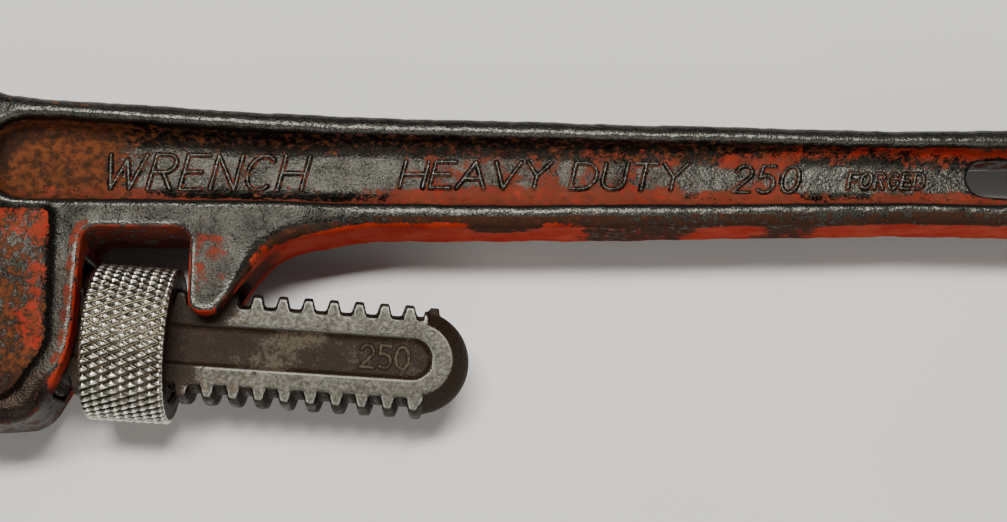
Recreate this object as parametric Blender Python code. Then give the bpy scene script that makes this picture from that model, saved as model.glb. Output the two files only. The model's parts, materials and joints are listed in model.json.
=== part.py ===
"""Pipe wrench, nominal 250 mm, lying on its side with the jaws almost closed.

X runs along the handle from the head (-X) to the hang hole (+X). Y points to the side where the
jaws open, and Z is up, out of the wrench's side face. All dimensions are in millimetres and are
measured from the centre of the adjusting nut, which an empty carries to its place in the frame.
The shank line, which the hook jaw slides on and the nut turns about, leans to the handle's line.
"""
import math

import bmesh
import bpy
from mathutils import Matrix, Vector

MM = 0.001

# Where the nut's centre lies, so that the frame's origin is under the middle of the wrench.
NUT_CENTRE = (-47.896, -17.148, 12.33)
# Angle between the shank line and the handle's line, in degrees.
SHANK_LEAN = 3.6
# Air that touching pieces keep between them.
FIT_GAP = 0.3

# Thread of the hook jaw's shank: right-hand, single start.
THREAD_PITCH = 4.0
THREAD_RADIUS = 8.97
THREAD_ROOT = 7.14
THREAD_CREST_AT = 10.56
CREST_HALF_WIDTH = 0.6
ROOT_HALF_WIDTH = 0.6
THREAD_FIRST_TURN = -6
THREAD_LAST_TURN = 8
SHANK_HALF_THICKNESS = 3.67
SHANK_END_X = 52.6
SHANK_DOME_RADIUS = 8.3
GROOVE_HALF_WIDTH = 3.2
GROOVE_DEPTH = 0.8
GROOVE_ENDS_X = (-42.0, 46.7)
# Where the shank starts inside the hook, and its plain run before the first thread turn.
SHANK_START_X = -56.0
THREAD_RUN_IN = 2.5
# Air between the last thread turn and the first row of the dome.
DOME_RUN_IN = 1.2
SHANK_ROWS_ACROSS = 4
PAST_SHANK = 6.0
DOME_STEPS = 7

# Adjusting nut.
NUT_RADIUS = 12.33
NUT_HALF_WIDTH = 6.32
NUT_BORE = THREAD_RADIUS + FIT_GAP
NUT_CHAMFER = 0.6

# Jaws.
JAW_HALF_WIDTH = 7.5
HEEL_TOOTH_X = -43.0
JAW_OPENING = 6.0
JAW_FLARE = 1.5
TOOTH_PITCH = 2.5
TOOTH_DEPTH = 1.3
# Where the flat tip of a tooth starts and ends, as shares of the pitch.
TOOTH_TIP = (0.35, 0.55)
HEEL_LOW_Y = 14.6
HEEL_TEETH = 11
# How far the tongue runs into the heel jaw's block, and how far below its top it ends.
TONGUE_OVERLAP = 1.0
TONGUE_TOP_STEP = 0.6
HOOK_TEETH = 12
# The point of the hook's face that the jaw opening is measured at, on the shank line.
HOOK_FACE_Y = 24.9
HOOK_FACE_SHIFT_X = -1.76
# How far the teeth run to the throat and to the tip from that point.
HOOK_RUN_LOW = 12.5
HOOK_RUN_HIGH = 17.5
HOOK_NECK_X = -45.5
# How far the hook's neck stands proud of the shank.
NECK_STEP = 0.02
HOOK_TOP_Y = 45.0
HOOK_THROAT_RADIUS = 2.0
HOOK_TIP_RADIUS = 1.6
HOOK_TIP_STEP = 0.3
HOOK_HEEL_CORNER = (-57.0, 12.0)
# Corners (x, y, radius) down the hook's back.
HOOK_BACK_CORNERS = ((-66.5, -2.0, 9.0), (-66.5, 24.0, 22.0), (-58.5, HOOK_TOP_Y, 4.5))

# Handle casting.
HEAD_HALF_WIDTH = 8.9
BEAM_HALF_WIDTH = 7.6
# Where the head starts to narrow into the beam, and where it has the beam's width.
BEAM_TAPER_X = (21.0, 33.0)
WEB_HALF_WIDTH = 2.75
PANEL_DEPTH = 0.8
HEAD_FACE_X = -37.3
HANDLE_END_X = 162.0
HANDLE_END_RADIUS = 8.7
HANDLE_END_Y = 27.3
HANDLE_END_TOP_STEP = 0.6
HANDLE_END_TOP_RADIUS = 7.4
HANDLE_END_LOW_RADIUS = 8.0
# Corners (x, y, radius) of the side view, from the handle's end round by the head to the nib.
BEAM_TOP_CORNERS = ((118.0, 34.8, 60.0), (20.0, 36.4, 80.0), (-22.0, 38.7, 30.0),
                    (-33.0, 44.6, 5.0), (HEAD_FACE_X, 44.6, 1.5))
HEAD_LOW_CORNERS = ((-24.0, -14.2, 12.0), (-13.4, -13.4, 5.5), (-8.4, -2.0, 20.0))
BEAM_LOW_CORNERS = ((22.0, 15.0, 12.0), (36.0, 17.6, 20.0), (74.0, 18.1, 100.0),
                    (122.0, 19.2, 60.0))
NIB_TIP_Y = 3.7
NIB_TIP_X = 13.2
NIB_RADII = (2.0, 1.9)
NOTCH_RADIUS = 2.3
NOTCH_DRAFT = 0.1
STRAP_THICKNESS = 4.6
STRAP_RADIUS = 3.0
POCKET_CORNERS = ((156.5, 31.7, 4.0), (118.0, 31.5, 60.0), (20.0, 33.0, 80.0),
                  (-12.0, 34.8, 6.0), (-23.0, 34.8, 6.4), (-23.0, 21.5, 6.4),
                  (60.0, 21.5, 100.0), (122.0, 22.5, 60.0), (156.5, 22.1, 4.0))
PANEL_CORNERS = ((-33.5, 20.0, 2.5), (-33.5, -8.0, 2.5), (-17.5, -9.0, 4.0),
                 (-12.3, -1.0, 6.0), (-12.6, 20.0, 1.5))
NOTCH_ROOF_Y = 16.9
NOTCH_LEFT_X = -7.4
NOTCH_RIGHT_X = 9.1
CHANNEL_HALF_WIDTH = SHANK_HALF_THICKNESS + 0.45
CHANNEL_BACK = -(THREAD_RADIUS + 0.43)
CHANNEL_FRONT = 12.3
# The channel is lower where it passes the notch's roof and the nib.
CHANNEL_FRONT_AT_NIB = 9.9
CHANNEL_STEP_X = NOTCH_LEFT_X + 2.0
CHANNEL_END_X = 40.0
HANG_SLOT_X = (134.1, 152.5)
HANG_SLOT_HALF_WIDTH = 2.8

# Heel jaw's seat and its pin.
SEAT_HALF_WIDTH = 4.5
SEAT_FLOOR_X = -30.6
SEAT_LOW_Y = 15.6
PIN_RADIUS = 1.9
PIN_AT = (-34.0, 29.0)
PIN_HALF_LENGTH = 8.6
PIN_CHAMFER = 0.4

# Springs behind the shank, inside the head. Places are on the shank line.
LEAF_ENDS = (-35.0, -10.5)
LEAF_THICKNESS = 0.8
LEAF_HALF_WIDTH = 3.4
LEAF_LOW = THREAD_RADIUS + 0.38
LEAF_TAB_TOP = 11.4
SPRING_X = -27.2
SPRING_BORE_RADIUS = 3.4
SPRING_BORE_TOP = 22.6
SPRING_RADIUS = 2.55
SPRING_WIRE_RADIUS = 0.42
SPRING_TURNS = 5
SPRING_STEPS_PER_TURN = 14
RIVET_RADIUS = 0.95
RIVET_HEAD_RADIUS = 1.6
RIVET_CROWN_RADIUS = 0.96
RIVET_HEAD_EDGE = 0.6
RIVET_HEAD_HEIGHT = 1.1

# Largest turn between two points of an arc, in radians.
ARC_STEP = 0.3
# How far cutters reach past the side faces, and past the ends of the head.
PAST_SIDE = 14.0
PAST_HEAD = 60.0
PAST_HANDLE_X = 170.0


def clear_scene():
    """Remove whatever the open scene holds."""
    for thing in list(bpy.data.objects):
        bpy.data.objects.remove(thing, do_unlink=True)


def finish(name, colour, roughness, metallic):
    """Make a Principled material."""
    material = bpy.data.materials.new(name)
    material.use_nodes = True
    shader = material.node_tree.nodes["Principled BSDF"]
    shader.inputs["Base Color"].default_value = (*colour, 1.0)
    shader.inputs["Roughness"].default_value = roughness
    shader.inputs["Metallic"].default_value = metallic
    return material


def add_empty(name, parent, location=(0.0, 0.0, 0.0), turn_z=0.0):
    """Add an empty, with its location in millimetres and its turn about Z in degrees."""
    empty = bpy.data.objects.new(name, None)
    empty.location = Vector(location) * MM
    empty.rotation_euler = (0.0, 0.0, math.radians(turn_z))
    empty.parent = parent
    bpy.context.collection.objects.link(empty)
    return empty


def rounded_outline(corners):
    """Turn corners (x, y, radius) into an outline with an arc of that radius at each."""
    outline = []
    for index, (x, y, radius) in enumerate(corners):
        here = Vector((x, y))
        if radius == 0.0:
            outline.append(here)
            continue
        to_last = (Vector(corners[index - 1][:2]) - here).normalized()
        to_next = (Vector(corners[(index + 1) % len(corners)][:2]) - here).normalized()
        half_angle = to_last.angle(to_next) / 2
        centre = here + (to_last + to_next).normalized() * (radius / math.sin(half_angle))
        arm = here + to_last * (radius / math.tan(half_angle)) - centre
        sweep = math.pi - 2 * half_angle
        if to_last.cross(to_next) > 0:
            sweep = -sweep
        steps = max(2, math.ceil(abs(sweep) / ARC_STEP))
        for step in range(steps + 1):
            turn = Matrix.Rotation(sweep * step / steps, 2)
            outline.append(centre + turn @ arm)
    return outline


def add_mesh(name, bm, parent, material):
    """Make an object from a bmesh in millimetres, with its faces pointing out."""
    bmesh.ops.recalc_face_normals(bm, faces=bm.faces)
    bmesh.ops.scale(bm, vec=(MM, MM, MM), verts=bm.verts)
    mesh = bpy.data.meshes.new(name)
    bm.to_mesh(mesh)
    bm.free()
    thing = bpy.data.objects.new(name, mesh)
    thing.parent = parent
    bpy.context.collection.objects.link(thing)
    if material is None:
        thing.hide_render = True
        thing.display_type = "WIRE"
    else:
        mesh.materials.append(material)
    return thing


def add_plate(name, outline, low, high, parent, material=None):
    """Extrude an outline in XY from one height to another. Without material it is a cutter."""
    bm = bmesh.new()
    rim = [bm.verts.new((x, y, low)) for x, y in outline]
    bottom = bm.faces.new(rim)
    raised = bmesh.ops.extrude_face_region(bm, geom=[bottom])["geom"]
    top_verts = [item for item in raised if isinstance(item, bmesh.types.BMVert)]
    bmesh.ops.translate(bm, vec=(0, 0, high - low), verts=top_verts)
    return add_mesh(name, bm, parent, material)


def add_turned(name, profile, parent, material=None, segments=48, closed=False):
    """Spin a profile of (along, radius) pairs about the X axis."""
    bm = bmesh.new()
    rings = []
    for along, radius in profile:
        ring = []
        for step in range(segments):
            angle = math.tau * step / segments
            ring.append(bm.verts.new((along, radius * math.cos(angle), radius * math.sin(angle))))
        rings.append(ring)
    pairs = list(zip(rings, rings[1:]))
    if closed:
        pairs.append((rings[-1], rings[0]))
    for ring, next_ring in pairs:
        for step in range(segments):
            after = (step + 1) % segments
            bm.faces.new((ring[step], ring[after], next_ring[after], next_ring[step]))
    if not closed:
        bm.faces.new(rings[0])
        bm.faces.new(rings[-1])
    return add_mesh(name, bm, parent, material)


def shade_round(thing, angle=40.0):
    """Shade an object smooth, except over its sharp edges."""
    thing.data.shade_smooth()
    thing.data.set_sharp_from_angle(angle=math.radians(angle))


def boolean(thing, other, operation="DIFFERENCE"):
    """Cut, join or intersect an object with another by an exact Boolean modifier."""
    modifier = thing.modifiers.new(other.name, "BOOLEAN")
    modifier.solver = "EXACT"
    modifier.operation = operation
    modifier.object = other


def on_both_sides(name, outline, low, high, parent):
    """Make a pair of cutters, one over each side face."""
    return [add_plate(f"{name}_top", outline, low, high, parent),
            add_plate(f"{name}_bottom", outline, -high, -low, parent)]


def shank_to_handle(along, across):
    """Turn a place on the shank line into the handle's own X and Y."""
    lean = math.radians(SHANK_LEAN)
    return (along * math.cos(lean) + across * math.sin(lean),
            across * math.cos(lean) - along * math.sin(lean))


def handle_outline():
    """Side view of the casting: beam, head, strap behind the shank, nut notch and nib."""
    strap_end = shank_to_handle(HEAD_FACE_X, CHANNEL_BACK - STRAP_THICKNESS)[1]
    end_top = HANDLE_END_Y + HANDLE_END_RADIUS - HANDLE_END_TOP_STEP
    return rounded_outline([
        (HANDLE_END_X, end_top, HANDLE_END_TOP_RADIUS),
        *BEAM_TOP_CORNERS,
        (HEAD_FACE_X, strap_end, STRAP_RADIUS),
        *HEAD_LOW_CORNERS,
        (NOTCH_LEFT_X, NOTCH_ROOF_Y, NOTCH_RADIUS),
        (NOTCH_RIGHT_X - NOTCH_DRAFT, NOTCH_ROOF_Y, NOTCH_RADIUS),
        (NOTCH_RIGHT_X, NIB_TIP_Y, NIB_RADII[0]),
        (NIB_TIP_X, NIB_TIP_Y, NIB_RADII[1]),
        *BEAM_LOW_CORNERS,
        (HANDLE_END_X, HANDLE_END_Y - HANDLE_END_RADIUS, HANDLE_END_LOW_RADIUS),
    ])


def slot_outline(ends, middle, half_width):
    """A slot with round ends along X."""
    left, right = ends
    return rounded_outline([
        (left, middle - half_width, half_width),
        (right, middle - half_width, half_width),
        (right, middle + half_width, half_width),
        (left, middle + half_width, half_width),
    ])


def build_handle(wrench, shank_line, material):
    """The casting: an I-beam handle with the head, the strap, the nut notch and the nib."""
    handle = add_plate("handle", handle_outline(), -HEAD_HALF_WIDTH, HEAD_HALF_WIDTH,
                       wrench, material)
    taper_start, taper_end = BEAM_TAPER_X
    taper = [(taper_start, HEAD_HALF_WIDTH + 0.1), (taper_end, BEAM_HALF_WIDTH),
             (PAST_HANDLE_X, BEAM_HALF_WIDTH), (PAST_HANDLE_X, PAST_SIDE),
             (taper_start, PAST_SIDE)]
    for side in (1, -1):
        outline = [(x, side * z) for x, z in taper]
        plane = add_plate(f"beam_plane_{side}", outline, -PAST_HEAD, PAST_HEAD, wrench)
        plane.rotation_euler = (math.radians(90.0), 0.0, 0.0)
        boolean(handle, plane)
    for cutter in on_both_sides("web_pocket", rounded_outline(POCKET_CORNERS),
                                WEB_HALF_WIDTH, PAST_SIDE, wrench):
        boolean(handle, cutter)
    for cutter in on_both_sides("cheek_panel", rounded_outline(PANEL_CORNERS),
                                HEAD_HALF_WIDTH - PANEL_DEPTH, PAST_SIDE, wrench):
        boolean(handle, cutter)

    channel = [(-PAST_HEAD, CHANNEL_BACK), (CHANNEL_END_X, CHANNEL_BACK),
               (CHANNEL_END_X, CHANNEL_FRONT_AT_NIB), (CHANNEL_STEP_X, CHANNEL_FRONT_AT_NIB),
               (CHANNEL_STEP_X, CHANNEL_FRONT), (-PAST_HEAD, CHANNEL_FRONT)]
    boolean(handle, add_plate("shank_channel", channel, -CHANNEL_HALF_WIDTH, CHANNEL_HALF_WIDTH,
                              shank_line))
    seat = [(-PAST_HEAD, SEAT_LOW_Y), (SEAT_FLOOR_X, SEAT_LOW_Y), (SEAT_FLOOR_X, PAST_HEAD),
            (-PAST_HEAD, PAST_HEAD)]
    boolean(handle, add_plate("jaw_seat", seat, -SEAT_HALF_WIDTH, SEAT_HALF_WIDTH, wrench))
    hang = slot_outline(HANG_SLOT_X, HANDLE_END_Y, HANG_SLOT_HALF_WIDTH)
    boolean(handle, add_plate("hang_slot", hang, -PAST_SIDE, PAST_SIDE, wrench))
    boolean(handle, add_pin_hole("pin_bore_in_head", wrench))
    boolean(handle, add_spring_bore(shank_line))
    return handle


def add_pin_hole(name, wrench):
    """A cutter for the bore that the heel jaw's pin sits in."""
    radius = PIN_RADIUS + FIT_GAP
    hole = add_turned(name, [(-PAST_SIDE, radius), (PAST_SIDE, radius)], wrench, segments=24)
    hole.location = Vector((*PIN_AT, 0.0)) * MM
    hole.rotation_euler = (0.0, math.radians(90.0), 0.0)
    return hole


def add_spring_bore(shank_line):
    """A cutter for the blind bore that holds the coil spring, square to the shank line."""
    profile = [(CHANNEL_FRONT - 2.0, SPRING_BORE_RADIUS), (SPRING_BORE_TOP, SPRING_BORE_RADIUS)]
    bore = add_turned("spring_bore", profile, shank_line, segments=28)
    bore.location = Vector((SPRING_X, 0.0, 0.0)) * MM
    bore.rotation_euler = (0.0, 0.0, math.radians(90.0))
    return bore


def tooth_profile(start, end, count, depth):
    """Saw teeth from start to end: tips on the line, valleys the depth to its left."""
    start, end = Vector(start), Vector(end)
    step = (end - start) / count
    left = Vector((-step.y, step.x)).normalized()
    points = []
    for index in range(count):
        tooth = start + step * index
        points.append(tooth + left * depth)
        points.append(tooth + step * TOOTH_TIP[0])
        points.append(tooth + step * TOOTH_TIP[1])
    points.append(end + left * depth)
    return points


def build_heel_jaw(wrench, material):
    """The toothed heel jaw: a block on the head's end face with a tongue in its seat."""
    high_y = HEEL_LOW_Y + HEEL_TEETH * TOOTH_PITCH
    teeth = tooth_profile((HEEL_TOOTH_X, high_y), (HEEL_TOOTH_X, HEEL_LOW_Y), HEEL_TEETH,
                          TOOTH_DEPTH)
    back_x = HEAD_FACE_X - FIT_GAP
    block = [*teeth, (back_x, HEEL_LOW_Y), (back_x, high_y)]
    jaw = add_plate("heel_jaw", block, -JAW_HALF_WIDTH, JAW_HALF_WIDTH, wrench, material)
    tongue_low = SEAT_LOW_Y + FIT_GAP
    tongue_high = high_y - TONGUE_TOP_STEP
    tongue_start = back_x - TONGUE_OVERLAP
    tongue = [(tongue_start, tongue_low), (SEAT_FLOOR_X - FIT_GAP, tongue_low),
              (SEAT_FLOOR_X - FIT_GAP, tongue_high), (tongue_start, tongue_high)]
    half = SEAT_HALF_WIDTH - FIT_GAP
    boolean(jaw, add_plate("heel_tongue", tongue, -half, half, wrench), "UNION")
    boolean(jaw, add_pin_hole("pin_bore_in_jaw", wrench))
    return jaw


def build_heel_jaw_pin(wrench, material):
    """The pin across the head that keeps the heel jaw in its seat."""
    ends = PIN_HALF_LENGTH - PIN_CHAMFER
    tip_radius = PIN_RADIUS - PIN_CHAMFER
    profile = [(-PIN_HALF_LENGTH, tip_radius), (-ends, PIN_RADIUS),
               (ends, PIN_RADIUS), (PIN_HALF_LENGTH, tip_radius)]
    pin = add_turned("heel_jaw_pin", profile, wrench, material, segments=24)
    pin.location = Vector((*PIN_AT, 0.0)) * MM
    pin.rotation_euler = (0.0, math.radians(90.0), 0.0)
    shade_round(pin)
    return pin


def thread_stations(half_turn):
    """Stations (x, radius) along one side of the thread, four to a turn."""
    flank = THREAD_PITCH / 2 - ROOT_HALF_WIDTH
    stations = []
    for turn in range(THREAD_FIRST_TURN, THREAD_LAST_TURN + 1):
        crest = THREAD_CREST_AT + THREAD_PITCH * (turn + half_turn)
        stations.append((crest - flank, THREAD_ROOT))
        stations.append((crest - CREST_HALF_WIDTH, THREAD_RADIUS))
        stations.append((crest + CREST_HALF_WIDTH, THREAD_RADIUS))
        stations.append((crest + flank, THREAD_ROOT))
    return stations


def shank_side(side, heights):
    """Rows of points down one side of the shank: plain shank, thread, domed end."""
    rows = []
    for x in (SHANK_START_X, thread_stations(0.0)[0][0] - THREAD_RUN_IN):
        rows.append([Vector((x, side * THREAD_RADIUS, z)) for z in heights])
    half_turn = 0.0 if side > 0 else 0.5
    for x, radius in thread_stations(half_turn):
        row = []
        for z in heights:
            skew = math.asin(z / radius) / math.tau * THREAD_PITCH
            row.append(Vector((x + side * skew, side * math.sqrt(radius ** 2 - z ** 2), z)))
        rows.append(row)
    dome_centre = SHANK_END_X - SHANK_DOME_RADIUS
    last_x = rows[-1][0].x
    first_angle = math.acos((last_x + DOME_RUN_IN - dome_centre) / SHANK_DOME_RADIUS)
    for step in range(DOME_STEPS):
        angle = first_angle * (1 - step / DOME_STEPS)
        x = dome_centre + SHANK_DOME_RADIUS * math.cos(angle)
        y = side * SHANK_DOME_RADIUS * math.sin(angle)
        rows.append([Vector((x, y, z)) for z in heights])
    return rows


def build_shank(shank_line, material):
    """The flat-sided threaded shank, from inside the hook to its domed end."""
    across = SHANK_ROWS_ACROSS
    heights = [SHANK_HALF_THICKNESS * (2 * step / across - 1) for step in range(across + 1)]
    bm = bmesh.new()
    front = [[bm.verts.new(point) for point in row] for row in shank_side(1, heights)]
    back = [[bm.verts.new(point) for point in row] for row in shank_side(-1, heights)]
    for rows in (front, back):
        for row, next_row in zip(rows, rows[1:]):
            for step in range(across):
                bm.faces.new((row[step], row[step + 1], next_row[step + 1], next_row[step]))
    tip = [bm.verts.new((SHANK_END_X, 0.0, z)) for z in heights]
    for rows in (front, back):
        for step in range(across):
            bm.faces.new((rows[-1][step], rows[-1][step + 1], tip[step + 1], tip[step]))
    bm.faces.new(front[0] + back[0][::-1])
    for edge in (0, across):
        loop = [row[edge] for row in front] + [tip[edge]] + [row[edge] for row in back[::-1]]
        bm.faces.new(loop)
    return add_mesh("hook_jaw", bm, shank_line, material)


def hook_outline():
    """Side view of the hook's head on the shank line, with the teeth on its inner face."""
    lean = math.radians(SHANK_LEAN + JAW_FLARE)
    face_x = HEEL_TOOTH_X - JAW_OPENING
    face = (face_x * math.cos(math.radians(SHANK_LEAN)) + HOOK_FACE_SHIFT_X, HOOK_FACE_Y)
    run = Vector((-math.sin(lean), math.cos(lean)))
    low = Vector(face) - run * HOOK_RUN_LOW
    high = Vector(face) + run * HOOK_RUN_HIGH
    teeth = tooth_profile(high, low, HOOK_TEETH, -TOOTH_DEPTH)
    neck_y = THREAD_RADIUS + NECK_STEP
    heel_x, heel_radius = HOOK_HEEL_CORNER
    crown = rounded_outline([
        (low.x - TOOTH_DEPTH, neck_y, HOOK_THROAT_RADIUS),
        (HOOK_NECK_X, neck_y, 0.0),
        (HOOK_NECK_X, -neck_y, 0.0),
        (heel_x, -neck_y, heel_radius),
        *HOOK_BACK_CORNERS,
        (high.x - HOOK_TIP_STEP, HOOK_TOP_Y, HOOK_TIP_RADIUS),
    ])
    return crown + teeth


def build_hook_jaw(shank_line, material):
    """The hook jaw: the toothed hook and its threaded shank in one forging."""
    jaw = build_shank(shank_line, material)
    hook = add_plate("hook_head", hook_outline(), -JAW_HALF_WIDTH, JAW_HALF_WIDTH, shank_line)
    boolean(jaw, hook, "UNION")
    groove = slot_outline(GROOVE_ENDS_X, 0.0, GROOVE_HALF_WIDTH)
    for cutter in on_both_sides("shank_groove", groove,
                                SHANK_HALF_THICKNESS - GROOVE_DEPTH, PAST_SHANK, shank_line):
        boolean(jaw, cutter)
    return jaw


def build_adjusting_nut(shank_line, material):
    """The round nut that moves the hook jaw along its thread."""
    inner = NUT_HALF_WIDTH - NUT_CHAMFER
    profile = [(-NUT_HALF_WIDTH, NUT_BORE), (-NUT_HALF_WIDTH, NUT_RADIUS - NUT_CHAMFER),
               (-inner, NUT_RADIUS), (inner, NUT_RADIUS),
               (NUT_HALF_WIDTH, NUT_RADIUS - NUT_CHAMFER), (NUT_HALF_WIDTH, NUT_BORE)]
    nut = add_turned("adjusting_nut", profile, shank_line, material, segments=64, closed=True)
    shade_round(nut)
    return nut


def build_flat_spring(shank_line, material):
    """The leaf that lies along the shank's front and carries the coil spring's push."""
    left, right = LEAF_ENDS
    top = LEAF_LOW + LEAF_THICKNESS
    outline = [(left, LEAF_LOW), (right, LEAF_LOW), (right, LEAF_TAB_TOP),
               (right - LEAF_THICKNESS, LEAF_TAB_TOP), (right - LEAF_THICKNESS, top), (left, top)]
    leaf = add_plate("flat_spring", outline, -LEAF_HALF_WIDTH, LEAF_HALF_WIDTH, shank_line,
                     material)
    radius = RIVET_RADIUS + FIT_GAP
    hole = add_turned("rivet_bore", [(LEAF_LOW - 2, radius), (top + 2, radius)], shank_line,
                      segments=20)
    hole.location = Vector((SPRING_X, 0.0, 0.0)) * MM
    hole.rotation_euler = (0.0, 0.0, math.radians(90.0))
    boolean(leaf, hole)
    return leaf


def build_spring_rivet(shank_line, material):
    """The rivet that keeps the coil spring's foot in place on the leaf."""
    seat = LEAF_LOW + LEAF_THICKNESS + FIT_GAP
    profile = [(LEAF_LOW, RIVET_RADIUS), (seat, RIVET_RADIUS), (seat, RIVET_HEAD_RADIUS),
               (seat + RIVET_HEAD_EDGE, RIVET_HEAD_RADIUS),
               (seat + RIVET_HEAD_HEIGHT, RIVET_CROWN_RADIUS)]
    rivet = add_turned("spring_rivet", profile, shank_line, material, segments=20)
    rivet.location = Vector((SPRING_X, 0.0, 0.0)) * MM
    rivet.rotation_euler = (0.0, 0.0, math.radians(90.0))
    shade_round(rivet)
    return rivet


def build_coil_spring(shank_line, material):
    """The coil spring between the leaf and the top of its bore."""
    low = LEAF_LOW + LEAF_THICKNESS + FIT_GAP + SPRING_WIRE_RADIUS
    high = SPRING_BORE_TOP - FIT_GAP - SPRING_WIRE_RADIUS
    steps = SPRING_TURNS * SPRING_STEPS_PER_TURN
    curve = bpy.data.curves.new("coil_spring", "CURVE")
    curve.dimensions = "3D"
    curve.bevel_depth = SPRING_WIRE_RADIUS * MM
    curve.bevel_resolution = 2
    curve.use_fill_caps = True
    spline = curve.splines.new("POLY")
    spline.points.add(steps)
    for step in range(steps + 1):
        angle = math.tau * step / SPRING_STEPS_PER_TURN
        x = SPRING_X + SPRING_RADIUS * math.cos(angle)
        y = low + (high - low) * step / steps
        spline.points[step].co = (x * MM, y * MM, SPRING_RADIUS * math.sin(angle) * MM, 1.0)
    curve.materials.append(material)
    spring = bpy.data.objects.new("coil_spring", curve)
    spring.parent = shank_line
    bpy.context.collection.objects.link(spring)
    return spring


def main():
    """Build every piece of the wrench in its place."""
    clear_scene()
    cast_iron = finish("cast_iron", (0.09, 0.085, 0.08), 0.5, 0.85)
    jaw_steel = finish("jaw_steel", (0.16, 0.15, 0.14), 0.4, 1.0)
    forged_steel = finish("forged_steel", (0.42, 0.41, 0.38), 0.35, 1.0)
    bright_steel = finish("bright_steel", (0.62, 0.61, 0.58), 0.25, 1.0)
    spring_steel = finish("spring_steel", (0.12, 0.12, 0.13), 0.35, 1.0)
    pin_steel = finish("pin_steel", (0.3, 0.29, 0.27), 0.35, 1.0)
    rivet_steel = finish("rivet_steel", (0.25, 0.24, 0.22), 0.4, 1.0)
    coil_steel = finish("coil_steel", (0.15, 0.15, 0.16), 0.35, 1.0)

    wrench = add_empty("wrench", None, NUT_CENTRE)
    shank_line = add_empty("shank_line", wrench, turn_z=-SHANK_LEAN)
    build_handle(wrench, shank_line, cast_iron)
    build_heel_jaw(wrench, jaw_steel)
    build_heel_jaw_pin(wrench, pin_steel)
    build_hook_jaw(shank_line, forged_steel)
    build_adjusting_nut(shank_line, bright_steel)
    build_flat_spring(shank_line, spring_steel)
    build_spring_rivet(shank_line, rivet_steel)
    build_coil_spring(shank_line, coil_steel)


main()
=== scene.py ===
"""Looks of a well-used pipe wrench, built around its packed mechanical model.

Every piece is modelled in millimetres from the adjusting nut's centre, either along the handle
(X along the handle, Y to the side where the jaws open, Z out of the side face) or along the
leaning line that the hook jaw slides on. Cast and forged pieces are distance fields turned into
meshes, which gives them real draft, fillets and worn edges. Threads, knurl and springs are swept.
"""
import json
import logging
import math
from dataclasses import dataclass
from enum import Enum
from typing import Sequence

import bpy
import numpy as np
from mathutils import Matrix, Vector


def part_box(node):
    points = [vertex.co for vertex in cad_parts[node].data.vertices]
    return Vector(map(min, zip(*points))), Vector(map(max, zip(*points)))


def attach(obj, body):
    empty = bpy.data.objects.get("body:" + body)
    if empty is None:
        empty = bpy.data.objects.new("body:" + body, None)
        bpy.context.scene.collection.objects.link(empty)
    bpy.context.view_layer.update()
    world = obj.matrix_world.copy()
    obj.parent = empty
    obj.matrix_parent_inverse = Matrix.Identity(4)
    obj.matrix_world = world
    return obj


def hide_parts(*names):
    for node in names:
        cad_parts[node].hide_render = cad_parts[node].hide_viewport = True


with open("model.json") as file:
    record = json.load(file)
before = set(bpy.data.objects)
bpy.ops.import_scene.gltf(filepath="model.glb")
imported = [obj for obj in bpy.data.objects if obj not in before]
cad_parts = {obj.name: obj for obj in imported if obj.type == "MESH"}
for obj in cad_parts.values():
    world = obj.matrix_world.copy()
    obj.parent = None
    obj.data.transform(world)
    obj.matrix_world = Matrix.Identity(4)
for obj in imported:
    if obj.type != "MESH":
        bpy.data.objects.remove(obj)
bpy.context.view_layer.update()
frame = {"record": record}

import openvdb
from mathutils import Matrix, Vector

MM = 0.001
SENSOR_WIDTH = 36.0
# Places that more than one piece keeps to, in millimetres from the nut's centre.
PIN_AT = (-34.0, 29.0)
PIN_HOLE_RADIUS = 2.15
SPRING_X = -27.2
LOG = logging.getLogger("pipe_wrench")

Corner = tuple[float, float, float]
Colour = tuple[float, float, float]


# ---------------------------------------------------------------- places

class Body(Enum):
    """The bodies of the mechanical model that pieces ride on."""

    HANDLE = "handle_body"
    LEAF = "spring_leaf"
    HOOK = "hook_body"
    NUT = "nut_body"


class Slot(Enum):
    """The record's material slots."""

    CASTING = "handle_casting"
    JAW = "jaw_steel"
    PIN = "pin_steel"
    HOOK = "hook_steel"
    NUT = "nut_steel"
    SPRING = "spring_steel"


@dataclass(frozen=True)
class Place:
    """A local frame of the wrench, with its origin at the nut's centre."""

    centre: Vector
    lean: float

    def to_world(self, points: np.ndarray) -> np.ndarray:
        """Carry local points into the model's frame.

        Args:
            points: An (n, 3) array in millimetres.

        Returns:
            The same points in metres, in the frame of the mechanical model.
        """
        cosine, sine = math.cos(self.lean), math.sin(self.lean)
        turned = np.empty_like(points, dtype=np.float64)
        turned[:, 0] = points[:, 0] * cosine + points[:, 1] * sine
        turned[:, 1] = points[:, 1] * cosine - points[:, 0] * sine
        turned[:, 2] = points[:, 2]
        return turned * MM + np.array(self.centre)


@dataclass(frozen=True)
class Places:
    """The two local frames that the pieces are modelled in."""

    handle: Place
    shank: Place

    @classmethod
    def from_frame(cls) -> "Places":
        """Read the nut's centre and the shank line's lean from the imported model.

        Returns:
            The handle's frame and the shank line's frame.
        """
        low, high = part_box("adjusting_nut")
        centre = (Vector(low) + Vector(high)) / 2
        joints = frame["record"]["behaviour"]["joints"]
        axis = next(joint["axis"] for joint in joints if joint["name"] == "nut_spin")
        lean = math.atan2(-axis[1], axis[0])
        return cls(Place(centre, 0.0), Place(centre, lean))


# ---------------------------------------------------------------- distance fields

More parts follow.
